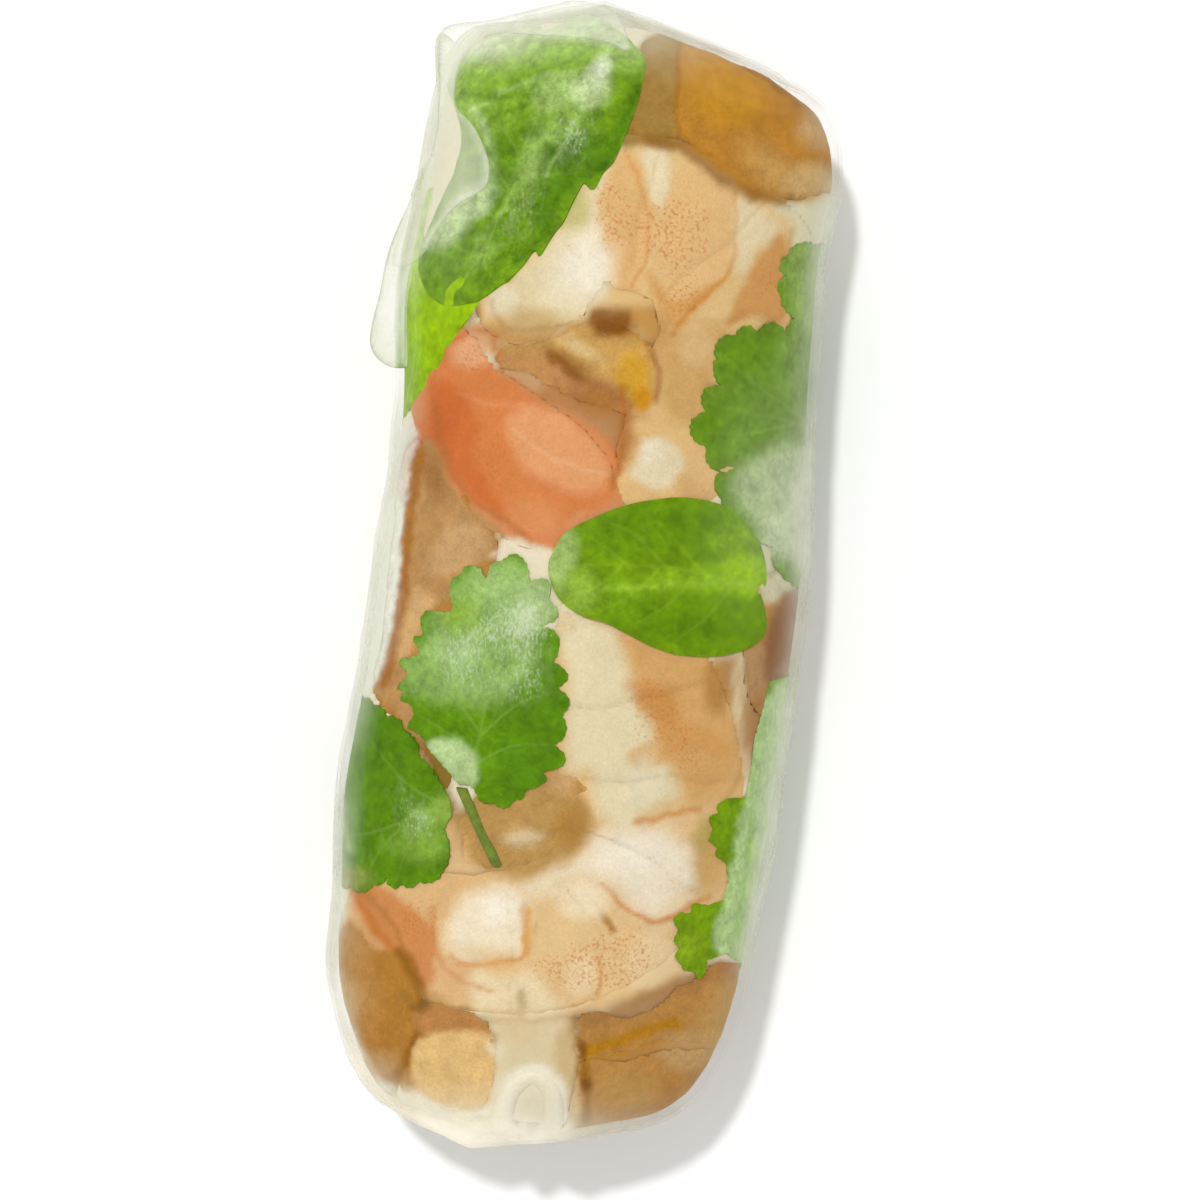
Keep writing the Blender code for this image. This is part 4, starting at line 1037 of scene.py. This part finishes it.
deselectAll()
stalkLine = smoothCurve(stalk["path"], stalk["rings"], closed=False)
bpy.ops.mesh.primitive_cylinder_add(vertices=12, radius=1, depth=1, end_fill_type="TRIFAN")
stem = bpy.context.object
stem.name = stem.data.name = "corianderStalk"
bpy.ops.object.mode_set(mode="EDIT")
bpy.ops.mesh.select_all(action="SELECT")
bpy.ops.mesh.bisect(plane_co=(0, 0, 0), plane_no=(0, 0, 1))
for k in range(1, stalk["rings"]):
    bpy.ops.mesh.select_all(action="SELECT")
    bpy.ops.mesh.bisect(plane_co=(0, 0, k / stalk["rings"] - 0.5), plane_no=(0, 0, 1))
bpy.ops.object.mode_set(mode="OBJECT")
points = getPoints(stem)
along = np.clip(points[:, 2] + 0.5, 0, 1) * (stalk["rings"] - 1)
lower = np.minimum(along.astype(int), stalk["rings"] - 2)
middle = stalkLine[lower] + (along - lower)[:, None] * (stalkLine[lower + 1] - stalkLine[lower])
sheet = unrolled(middle)
across = sheet[:, 0] + stalk["radius"][0] * points[:, 0]
setPoints(stem, place(onRoll(across, sheet[:, 1], stalk["depth"] - stalk["radius"][1] * points[:, 1])))
for mask in ("frost", "vein"):
    paint(stem, mask, np.full(len(points), 0.05))
paintTone(stem, np.tile(lit(stalk["tone"])[:3], (len(points), 1)))
finishPiece(stem, corianderMaterial, "coriander")

print("herbs laid")

# lettuce and the pale leaf at the left

lettuceLeft = {
    "outline": ((-19.0, 38.4), (-21.2, 36.4), (-23.4, 32.0), (-26.0, 25.0), (-25.0, 18.6), (-20.8, 13.6),
        (-18.3, 16.8), (-17.0, 19.4), (-15.4, 23.6), (-13.0, 28.6), (-15.4, 29.6), (-18.6, 31.0),
        (-19.6, 34.0)),
    "veins": (((-20.2, 15.8), (-19.6, 22.0), (-20.6, 30.0), (-19.6, 37.0)),),
    "crinkle": 0.15,
    "depth": 1.3,
    "tone": "#94bb22",
}
lettuceRight = {
    "outline": (
        (19.6, -15.0), (20.4, -9.0), (23.0, -8.0), (25.4, -9.4), (27.2, -8.6), (29.4, -10.6), (32.0, -10.6),
        (32.2, -13.4), (34.8, -15.0), (33.6, -18.0), (35.8, -20.8), (34.2, -23.6), (35.4, -27.0),
        (32.8, -29.0), (33.2, -32.6), (30.4, -33.4), (29.8, -36.8), (26.8, -36.4), (24.6, -39.2), (21.3, -39),
        (18.6, -37.3), (16.9, -38.4), (16.9, -39.9), (16.3, -40.6), (15.9, -39.8), (14.9, -39.9),
        (14.7, -39.3), (13.9, -38.7), (14.4, -37.7), (13.6, -37), (14.1, -35.9), (13.4, -34.9), (14, -34.1),
        (15.1, -34.1), (15.4, -33.1), (16.7, -33), (18.1, -32.1), (18.4, -30.3), (18, -28.3), (16.9, -27.6),
        (17.1, -26.8), (16.2, -26.2), (16.5, -24.9), (15.9, -23.9), (16.9, -23.3), (16.6, -22.5),
        (17.7, -21.6), (19.2, -21.3), (19.4, -20.2)),
    "veins": (((21.6, -9.6), (21.4, -20.0), (21.6, -30.0), (21.0, -38.0)),),
    "crinkle": 0.2,
    "depth": 1.1,
    "tone": "#74991c",
    "frost": ((20.0, -24.0, 3.0, 12.0, 0.2),),
}
lettuceMaterial = leafMaterial("crispLettuceLeaf", {
    "vein": "#c9d8a4", "veinStrength": 0.3, "veil": "#b9cd92"})
leftLine = smoothCurve(lettuceLeft["outline"], 90)
rightLine = toothed(np.array(lettuceRight["outline"]), depth=0.12)
makeLeaf("lettuceLeft", lettuceLeft, leftLine, lettuceMaterial, "lettuce", "lettuce_left")
makeLeaf("lettuceRight", lettuceRight, rightLine, lettuceMaterial, "lettuce", "lettuce_right")
print("lettuce laid")

# prawns

prawnDepth = 1.35  # of its upper face under the paper's outer face
prawns = {
    "prawnTop": {
        "node": "prawn_top",
        "path": ((-9.0, 28.5, 6.6), (-6.0, 36.0, 8.4), (2.5, 38.2, 8.2), (11.0, 35.0, 8.6), (14.2, 26.0, 8.6),
            (10.0, 16.0, 7.4), (6.6, 10.6, 5.0)),
        "segments": 6.4, "thickness": 6.5, "colour": "#dbb47c",
        "speckle": ((-1.0, 39.0, 2.4, 6.0, 0.36), (8.0, 37.0, 4.0, 6.0, 0.38), (3.6, 37.0, 4.0, 4.0, 0.26),
            (17.0, 32.6, 2.4, 3.4, 0.34), (8.0, 29.0, 4.0, 3.0, 0.3)),
    },
    "prawnMiddle": {
        "node": "prawn_middle",
        "path": ((-0.4, 7.2, 5.6), (-4.6, 9.0, 7.0), (-10.0, 12.4, 6.9), (-14.6, 17.6, 5.0),
            (-16.4, 22.4, 3.2)),
        "segments": 2.6, "thickness": 6.0, "colour": "#cf8a5c",
        "speckle": ((-14.0, 21.4, 3.0, 3.0, 0.36), (-12.0, 12.0, 4.0, 6.0, 0.32),
            (-5.0, 8.0, 7.0, 6.0, 0.22)),
    },
    "prawnBottom": {
        "node": "prawn_bottom",
        "path": ((3.4, -4.6, 6.6), (6.6, -12.0, 9.2), (9.4, -20.0, 9.4), (9.6, -29.0, 9.0), (3.0, -36.6, 8.2),
            (-7.0, -39.4, 7.4), (-16.0, -38.0, 6.0)),
        "segments": 6.6, "thickness": 6.5, "colour": "#dbb47c",
        "speckle": ((3.0, -41.6, 8.0, 3.0, 0.38), (9.0, -13.0, 4.0, 7.0, 0.36),
            (-14.0, -38.0, 5.0, 4.0, 0.36), (9.0, -38.6, 5.0, 4.0, 0.36), (14.0, -18.0, 3.0, 5.0, 0.3)),
    },
}

prawnMaterial = paintedFood("poachedPrawn", {
    # cooked prawn: cream flesh under patches of orange skin and fine red specks, satin where it is wet
    "mottling": ((3.2, 0.96, 1.05), (0.9, 0.965, 1.035), (0.28, 0.93, 1.07)),
    "tints": [("speckle", "#c4703a", 0.36, 0.83, 1.0, 0.6), ("seam", "#c4803e", 0.8, 0.8, 1.35, 0.4)],
    "grain": 0.6, "bump": 0.3, "roughness": 0.42, "specular": 0.1})


def makePrawn(name, looks):
    path = unrolled(smoothCurve(looks["path"], 40, closed=False)[:, :2])

    def segmentShare(sheet):
        far, along, side = pathDistance(sheet, path)
        wobble = 0.12 * flatNoise(sheet, 5.0, 11)
        return (along * looks["segments"] + wobble - 0.012 * far * side) % 1

    def top(sheet, inner):
        share = segmentShare(sheet)
        edge = 0.12 * (1 - np.sqrt(np.clip(1 - (1 - np.clip(inner / 1.8, 0, 1)) ** 2, 0, 1)))
        crease = 0.28 * np.exp(-((share / 0.14) ** 2)) + 0.16 * np.exp(-(((1 - share) / 0.05) ** 2))
        return prawnDepth + edge + crease * np.clip(inner / 3, 0, 1)

    thick = looks["thickness"]
    obj, sheet, plan, inner = layPiece(name, ribbon(looks["path"]), 0.3, thick, top, fillingCovers,
        thick + 1.4)
    share = segmentShare(sheet)
    paint(obj, "seam", 0.5 * np.exp(-((share / 0.07) ** 2)))
    paint(obj, "speckle", np.minimum(blobs(plan, looks["speckle"]), 0.35))
    paintFilling(obj, looks["colour"], plan)
    finishPiece(obj, prawnMaterial, "prawn", looks["node"])
    print("prawn", name, len(obj.data.polygons))


for name, looks in prawns.items():
    makePrawn(name, looks)

# fried tofu

tofuMaterial = paintedFood("friedTofuSkin", {
    # deep-fried skin: blistered and matt, golden in the middle and darker at its edges
    "mottling": ((3.0, 0.9, 1.1), (1.1, 0.92, 1.09), (0.3, 0.9, 1.1)),
    "tints": [("rim", "#8f5512", 0.9, 0.75, 1.3, 0.35)],
    "grain": 0.45, "bump": 0.5, "roughness": 0.55, "specular": 0.08})

tofuDepth = 1.38
tofuPieces = {
    "tofuTop": {
        "outline": ((0.9, 55.7), (3.8, 57.1), (5.4, 58.2), (9.7, 57.0), (14.2, 55.6), (19.2, 54.0),
            (25.4, 51.6), (28.4, 47.4), (25.6, 42.4), (21.2, 42), (18.3, 41.2), (14.6, 41.5), (11.4, 43.1),
            (8.7, 44.7), (5.9, 45.9), (2.5, 45.9), (-0.4, 46.6), (0.6, 51.7)),
        "node": "tofu_top",
        "rim": 0.6,
    },
    "tofuLeft": {
        "outline": ((-17.6, 12.6), (-19.4, 10.0), (-19.6, 0.0), (-19.6, -8.0), (-20.0, -13.6), (-17.8, -17.0),
            (-13.6, -21.0), (-11.6, -23.4), (-10.0, -12.0), (-8.8, 1.4), (-12.0, 6.0), (-14.8, 9.4)),
        "node": "tofu_left",
        "rim": 0.7,
    },
    "tofuCentre": {
        "outline": ((-11.0, 22.6), (-7.5, 23.6), (-5.6, 24.4), (-1.7, 26.5), (2, 26.1), (4.9, 24.6),
            (6.3, 21.6), (5.8, 17.7), (2.8, 17.2), (-2.0, 18.0), (-7.0, 20.0), (-10.6, 20.6)),
        "node": "tofu_centre",
        "rim": 0.0,
    },
    "tofuRight": {
        "outline": ((18.4, 1.4), (24.4, 2.6), (29.0, 0.0), (30.0, -8.0), (27.0, -13.6), (21.4, -13.4),
            (18.6, -11.0), (17.8, -5.0)),
        "node": "tofu_right",
        "rim": 0.5,
    },
    "tofuInner": {
        "outline": ((-4.4, -19.6), (0.6, -20.0), (3.4, -23.4), (2.2, -27.6), (-2.0, -30.6), (-8.4, -31.4),
            (-10.0, -28.0), (-9.0, -24.4)),
        "node": "tofu_inner",
        "rim": 0.0,
    },
    "tofuLowerLeft": {
        "outline": ((-21.6, -37.4), (-25.4, -39.6), (-25.8, -46.0), (-22.4, -51.0), (-18.4, -54.6),
            (-15.4, -56.2), (-13.4, -54.4), (-12.5, -50.0), (-12.0, -46.0), (-14.0, -43.4), (-17.0, -40.2)),
        "node": "tofu_lower_left",
        "rim": 0.6,
    },
    "tofuEndLeft": {
        "outline": ((-12.4, -46.0), (-6.0, -46.8), (-3.9, -50.0), (-4.0, -55.0), (-6.0, -57.6),
            (-11.0, -57.0), (-13.4, -55.2), (-12.8, -50.0)),
        "node": "tofu_end_left",
        "rim": 0.0,
    },
    "tofuLowerRight": {
        "outline": ((4.7, -45.6), (11.0, -45.0), (15.0, -41.6), (18.6, -38.6), (24.4, -38.6), (28.0, -41.6),
            (27.8, -45.0), (15.0, -47.6), (10.0, -49.4), (5.0, -50.4)),
        "node": "tofu_lower_right",
        "rim": 0.1,
    },
    "tofuEndRight": {
        "outline": ((5.0, -51.0), (10.0, -50.0), (15.0, -48.2), (27.4, -46.0), (26.2, -50.0), (22.0, -55.2),
            (15.8, -58.2), (9.5, -59.8), (5, -60.4)),
        "node": "tofu_end_right",
        "rim": 0.2,
    },
}


def makeTofu(name, looks):
    def top(sheet, inner):
        edge = 0.15 * (1 - np.sqrt(np.clip(1 - (1 - np.clip(inner / 1.1, 0, 1)) ** 2, 0, 1)))
        return tofuDepth + edge + 0.16 * flatNoise(sheet, 2.4, 21) + 0.1 * flatNoise(sheet, 0.9, 22)

    line = smoothCurve(looks["outline"], 120)
    line = line + 0.3 * np.stack([flatNoise(line, 1.4, 23), flatNoise(line, 1.4, 24)], axis=1)
    obj, sheet, plan, inner = layPiece(name, line, 0.32, 5.0, top, fillingCovers, 6.4)
    paintFilling(obj, "#b58448", plan)
    paint(obj, "rim", looks["rim"] * np.exp(-((inner / 0.9) ** 2)))
    finishPiece(obj, tofuMaterial, "fried_tofu", looks["node"])


for name, looks in tofuPieces.items():
    makeTofu(name, looks)
print("tofu laid")

# rice noodles

noodles = {
    "radius": 0.85, "strands": 46, "points": 70, "halfLength": 58, "loopRadius": 1.35, "loopDepth": 2.7,
    "shell": (180, 210), "nearest": 1.42, "reach": 0.985 * 59, "sideTone": "#dcd9c5",
    "loops": (
        ((-2.4, -60.0), (-2.4, -56.2), (-1.6, -54.2), (0.3, -53.1), (2.1, -53.9), (2.8, -55.8), (3.0, -60.0)),
        ((-4.6, -49.2), (-3.6, -48.8), (-3.0, -49.8), (-3.8, -50.8), (-4.8, -50.2))),
}
noodleMaterial = paintedFood("softRiceNoodle", {
    # pressed vermicelli, wet and matt, stained by what lies on it
    "mottling": ((2.5, 0.97, 1.03), (0.35, 0.96, 1.04)), "tints": [],
    "grain": 0.5, "bump": 0.15, "roughness": 0.5, "specular": 0.08})


def stain(obj, points):
    # seen from above it takes the colours around it; down its sides it is clean and pale
    plan = points / millimetre - np.array([*roll["shift"], 0.0])
    paintFilling(obj, "#e4dabc", plan)
    high = smoothStep(8.0, 20.0, plan[:, 2])[:, None]
    side = smoothStep(19.0, 21.0, np.abs(plan[:, 0]))[:, None]
    tone = np.zeros(len(points) * 4, np.float32)
    obj.data.attributes["tone"].data.foreach_get("color", tone)
    tone = tone.reshape(-1, 4)[:, :3]
    pale = np.array(linear(noodles["sideTone"])[:3])
    paintTone(obj, tone * (1 - side * (1 - high)) + pale * side * (1 - high))


def strandMesh(name, lines, radius):
    # each strand is a round curve turned into mesh
    curve = bpy.data.curves.new(name, "CURVE")
    curve.dimensions = "3D"
    curve.bevel_depth = radius * millimetre
    curve.bevel_resolution = 1
    curve.use_fill_caps = True
    for line in lines:
        spline = curve.splines.new("POLY")
        spline.points.add(len(line) - 1)
        spline.points.foreach_set("co", np.c_[place(line), np.ones(len(line))].ravel())
    obj = bpy.data.objects.new(name, curve)
    bpy.context.scene.collection.objects.link(obj)
    selectOnly(obj)
    bpy.ops.object.convert(target="MESH")
    bpy.ops.object.shade_smooth()
    obj.data.name = name
    stain(obj, getPoints(obj))
    return obj


lines = []
for i in range(noodles["strands"]):
    start = math.radians(66 + 228 * (i + 0.5) / noodles["strands"])
    y = np.linspace(-noodles["halfLength"], noodles["halfLength"], noodles["points"])
    key = np.c_[y, np.full(len(y), i * 3.3), np.zeros(len(y))]
    angle = start + 0.14 * noiseAt(key, 22, 1) + 0.05 * noiseAt(key, 7, 2)
    angle = np.where(angle > math.pi, angle - 2 * math.pi, angle)
    u = angle * roll["unrollRadius"]
    depth = np.maximum(1.9 + 0.9 * noiseAt(key, 11, 4), 1.35)
    depth = tuckUnder(np.c_[u, y], depth, leafCovers + fillingCovers, 1.6, 0.4)
    lines.append(onRoll(u, y, depth + np.where(np.abs(u) > 30, 0.2, 1.1)))
strands = strandMesh("noodleStrands", lines, noodles["radius"])
finishPiece(strands, noodleMaterial, "rice_noodle", "noodle_bundle")

loops = []
for path in noodles["loops"]:
    sheet = unrolled(smoothCurve(path, 40, closed=False), 1.2)
    depth = pressed(sheet[:, 0], sheet[:, 1], np.full(len(sheet), noodles["loopDepth"]))
    loops.append(onRoll(sheet[:, 0], sheet[:, 1], depth))
loopStrands = strandMesh("noodleLoops", loops, noodles["loopRadius"])
finishPiece(loopStrands, noodleMaterial, "rice_noodle")

core, share, angle = longBall("noodleCore", *noodles["shell"])
u, y = angle * roll["unrollRadius"], share * noodles["reach"]
under = smoothStep(math.radians(95), math.radians(115), np.abs(angle))
depth = noodles["nearest"] + 0.6 * under + 0.14 * flatNoise(np.c_[u, y], 3.2, 9)
depth += 0.12 * flatNoise(np.c_[u, 0.3 * y], 1.3, 10)
depth = pressed(u, y, depth)
depth = tuckUnder(np.c_[u, y], depth, fillingCovers, 0.1, -1.6)
depth = tuckUnder(np.c_[u, y], depth, leafCovers, -0.25, -0.8)
corePoints = place(onRoll(u, y, depth))
setPoints(core, corePoints)
stain(core, corePoints)
faceOutwards()
bpy.ops.object.shade_smooth()
finishPiece(core, noodleMaterial, "rice_noodle")
print("noodles laid")

# the rice paper

paper = {
    "thick": 0.35, "flapThick": 0.25, "shell": (180, 220), "tone": "#d4d6c0", "creamTone": "#fdf5de",
    "roughness": 0.3,
    # where the skin clings clear, is milky, or is warmed by noodle under it, as soft spots for blobs()
    "clear": (
        (-20.8, 22.0, 3.6, 11.0, 1.0), (13.0, 53.0, 10.0, 5.0, 0.9), (21.0, 47.0, 3.0, 5.0, 0.9),
        (14.0, -53.0, 9.0, 7.0, 0.8), (-20.0, -43.0, 2.4, 7.0, 0.9), (20.5, -45.0, 4.4, 9.0, 1.0),
        (21.5, 24.0, 3.0, 10.0, 0.6), (-21.5, -20.0, 3.0, 6.0, 0.6), (21.5, -3.0, 3.0, 6.0, 0.7)),
    "milky": ((20.0, 10.0, 5.0, 9.0, 0.10), (-17.6, 40.0, 2.6, 8.0, 0.10), (0, -59.5, 9, 2.2, 0.5),
        (-12.0, -58.8, 6.0, 2.0, 0.45), (-22.8, -45.0, 1.2, 8.0, 0.4), (-18.0, 56.0, 6.0, 3.0, 0.4)),
    "creamy": ((-4.0, -59.0, 14.0, 5.0, 1.0), (-18.0, -54.0, 8.0, 6.0, 0.8)),
}
paperMaterial, tree, shader = newMaterial("wetRicePaper")
# soaked rice paper: clear where it clings to the filling, milky where air or a second layer lies under it
where = addNode(tree, "TexCoord").outputs["Object"]
milk = addNode(tree, "Attribute", {"attribute_name": "milk"}).outputs["Fac"]
cloud = addNode(tree, "TexNoise", inputs={
    "Vector": where, "Scale": 1000 / 6.0, "Detail": 4.0, "Roughness": 0.6})
wisps = addNode(tree, "MapRange", inputs={
    "Value": cloud.outputs["Fac"], "From Min": 0.35, "From Max": 0.75, "To Min": 0.55, "To Max": 1.5})
strength = addNode(tree, "Math", {"operation": "MULTIPLY"}, {0: milk, 1: wisps.outputs["Result"]})
specks = addNode(tree, "TexNoise", inputs={"Vector": where, "Scale": 1000 / 0.5, "Detail": 2.0})
dots = addNode(tree, "MapRange", inputs={
    "Value": specks.outputs["Fac"], "From Min": 0.66, "From Max": 0.78, "To Max": 0.05})
total = addNode(tree, "Math", {"operation": "ADD", "use_clamp": True}, {
    0: strength.outputs[0], 1: dots.outputs["Result"]})
tree.links.new(total.outputs[0], shader.inputs["Alpha"])
cream = addNode(tree, "Attribute", {"attribute_name": "cream"}).outputs["Fac"]
body = addNode(tree, "Mix", {"data_type": "RGBA"}, {
    0: cream, 6: linear(paper["tone"]), 7: linear(paper["creamTone"])})
tree.links.new(body.outputs[2], shader.inputs["Base Color"])
shader.inputs["Roughness"].default_value = paper["roughness"]
shader.inputs["IOR"].default_value = 1.38
shader.inputs["Specular IOR Level"].default_value = 0.25
ripples = addNode(tree, "TexNoise", inputs={"Vector": where, "Scale": 1000 / 1.8, "Detail": 3.0})
lift = addNode(tree, "Bump", inputs={"Height": ripples.outputs["Fac"], "Strength": 0.3, "Distance": 0.0003})
tree.links.new(lift.outputs["Normal"], shader.inputs["Normal"])


def letLightThrough(obj):
    # a skin this thin and wet takes no light from what lies under it
    obj.visible_shadow = obj.visible_diffuse = obj.visible_glossy = False


skin, share, angle = longBall("paperSkin", *paper["shell"])
u, y = angle * roll["unrollRadius"], share * endLength(np.sin(angle), share)
base = onRoll(u, y, 0.0)
lumps = 0.22 * noiseAt(base, 9.0, 31) + 0.10 * noiseAt(base * np.array([1, 0.35, 1]), 2.6, 32)
ridges = 1 - np.abs(noiseAt(base * np.array([1.0, 0.25, 1.0]), 4.0, 33))
sides = smoothStep(math.radians(55), math.radians(95), np.abs(angle))
ends = smoothStep(0.86, 0.99, np.abs(share))
creases = 0.22 * ridges**4 * np.clip(sides + ends, 0, 1)
skinPoints = onRoll(u, y, -paper["thick"] - np.maximum(lumps + creases, -0.1))
skinPoints[:, 2] = np.maximum(skinPoints[:, 2], 0)
setPoints(skin, place(skinPoints))
margin = smoothStep(math.radians(58), math.radians(80), np.abs(angle))
milkiness = 0.002 + 0.42 * margin + 0.2 * ends
milkiness *= 1 - np.clip(blobs(base, paper["clear"]), 0, 0.92)
milkiness += blobs(base, paper["milky"])
paint(skin, "cream", np.clip(blobs(base, paper["creamy"]), 0, 1))
paint(skin, "milk", milkiness)
faceOutwards()
applyModifier(skin, "SOLIDIFY", thickness=paper["thick"] * millimetre, offset=-1)
bpy.ops.object.shade_smooth()
finishPiece(skin, paperMaterial, "rice_paper", "wrapper")
letLightThrough(skin)
print("paper skin", len(skin.data.polygons))


def makeFlap(name, outline, lift, slope, milkBase, wrinkle, hidden=0, step=0.35):
    # a loose layer of paper over the shoulder, laid by plan place and falling away past the roll's side
    obj = cutGrid(name, outline, step)
    points = getPoints(obj)
    x, y = points[:, 0], points[:, 1]
    inner = -nearest(points[:, :2], outline)[0]
    wide = halfWidth(y, x)
    end = endLength(x / wide, y)
    share = np.clip(np.abs(y) / end, 0, 0.985)
    tall = rounded(share, roll["heightSquareness"])
    turn = np.clip(np.abs(x) / (wide * rounded(share, 9.0)), 0, 0.8)
    fall = np.maximum(0, np.abs(x) - 0.8 * wide * rounded(share, 9.0))
    z = roll["waist"] + roll["crown"] * tall * np.sqrt(1 - turn**2) - slope * fall + lift
    z -= hidden * smoothStep(1.02, 0.95, np.abs(x) / wide)
    z += wrinkle * flatNoise(np.c_[x, 0.2 * y], 1.6, 41) + 0.5 * wrinkle * flatNoise(np.c_[x, y], 5.0, 42)
    setPoints(obj, place(np.c_[x, y, z]))
    paint(obj, "milk", milkBase * (0.7 + 0.8 * np.exp(-((inner / 0.5) ** 2))))
    applyModifier(obj, "SOLIDIFY", thickness=paper["flapThick"] * millimetre, offset=-1)
    bpy.ops.object.shade_smooth()
    finishPiece(obj, paperMaterial, "rice_paper")
    letLightThrough(obj)


flapOuter = smoothCurve((
    (-20.6, 55.4), (-20, 49), (-19.4, 43.8), (-20.6, 40.9), (-21.8, 37.1), (-23.4, 32.1), (-23.9, 27.7),
    (-24.4, 21.8), (-21.6, 19.6), (-18.6, 21.4), (-18.4, 27.9), (-18.0, 32.9), (-17.6, 37.3), (-17.2, 40.5),
    (-17.2, 43.7), (-17.6, 47.3), (-18.2, 51), (-18.0, 53.5)), 120)
makeFlap("paperFlap", flapOuter, 0.55, 1.25, 0.5, 0.35, hidden=4.5)
flapInner = smoothCurve((
    (-1.1, 57), (-0.6, 54.9), (-3.4, 55.7), (-10.8, 55.7), (-15.1, 55.5), (-17.6, 53.5), (-18.4, 51),
    (-18.1, 47.6), (-15.9, 45.4), (-14, 41.9), (-14.1, 39.1), (-16.9, 37), (-18.7, 34.4), (-20.3, 31.2),
    (-22.9, 30.3), (-22.4, 34), (-21.5, 37.2), (-20.6, 40.3), (-19.7, 44.1), (-19.9, 49), (-20.5, 54.5),
    (-19.7, 56.3), (-14.6, 57.2), (-8.7, 59.1), (-6.3, 59.7), (-2.5, 59)), 130)
makeFlap("paperPleat", flapInner, 0.95, 1.4, 0.24, 0.3)
print("paper flaps laid")

# floor, light and camera

studio = {
    "cameraHeight": 1.2, "frameWidth": 126.3, "sensor": 36, "focusHeight": 15, "tilt": 5.8,
    "aim": (2.305, -2.409),
    "floorTone": "#f4f4f4", "roomLight": 0.8, "sunLight": 1.55, "sunSpread": 4, "sunFrom": (-0.23, 0.33, 1.0),
}
deselectAll()
bpy.ops.mesh.primitive_plane_add(size=4)
floor = bpy.context.object
floor.name = "floor"
floorMaterial, tree, shader = newMaterial("paleTable")
# a plain matt table, on which only the soft shadow shows
shader.inputs["Base Color"].default_value = linear(studio["floorTone"])
shader.inputs["Roughness"].default_value = 0.9
shader.inputs["Specular IOR Level"].default_value = 0.0
floor.data.materials.append(floorMaterial)

world = bpy.data.worlds.new("softRoom")
bpy.context.scene.world = world
world.use_nodes = True
world.node_tree.nodes["Background"].inputs["Color"].default_value = (1, 1, 1, 1)
world.node_tree.nodes["Background"].inputs["Strength"].default_value = studio["roomLight"]
keyLight = bpy.data.lights.new("keyLight", "SUN")
keyLight.energy = studio["sunLight"]
keyLight.angle = math.radians(studio["sunSpread"])
key = bpy.data.objects.new("keyLight", keyLight)
key.rotation_euler = Vector(studio["sunFrom"]).to_track_quat("Z", "Y").to_euler()
bpy.context.scene.collection.objects.link(key)

lens = bpy.data.cameras.new("camera")
lens.sensor_width = studio["sensor"]
focusDistance = studio["cameraHeight"] * 1000 - studio["focusHeight"]
lens.lens = studio["sensor"] * focusDistance / studio["frameWidth"]
lens.clip_start, lens.clip_end = 0.01, 10
camera = bpy.data.objects.new("camera", lens)
camera.location = (*place(np.array([*studio["aim"], 0.0]))[:2], studio["cameraHeight"])
camera.rotation_euler = (0, 0, math.radians(studio["tilt"]))
bpy.context.scene.collection.objects.link(camera)
bpy.context.scene.camera = camera
bpy.context.scene.view_settings.view_transform = "Standard"

print("studio set")
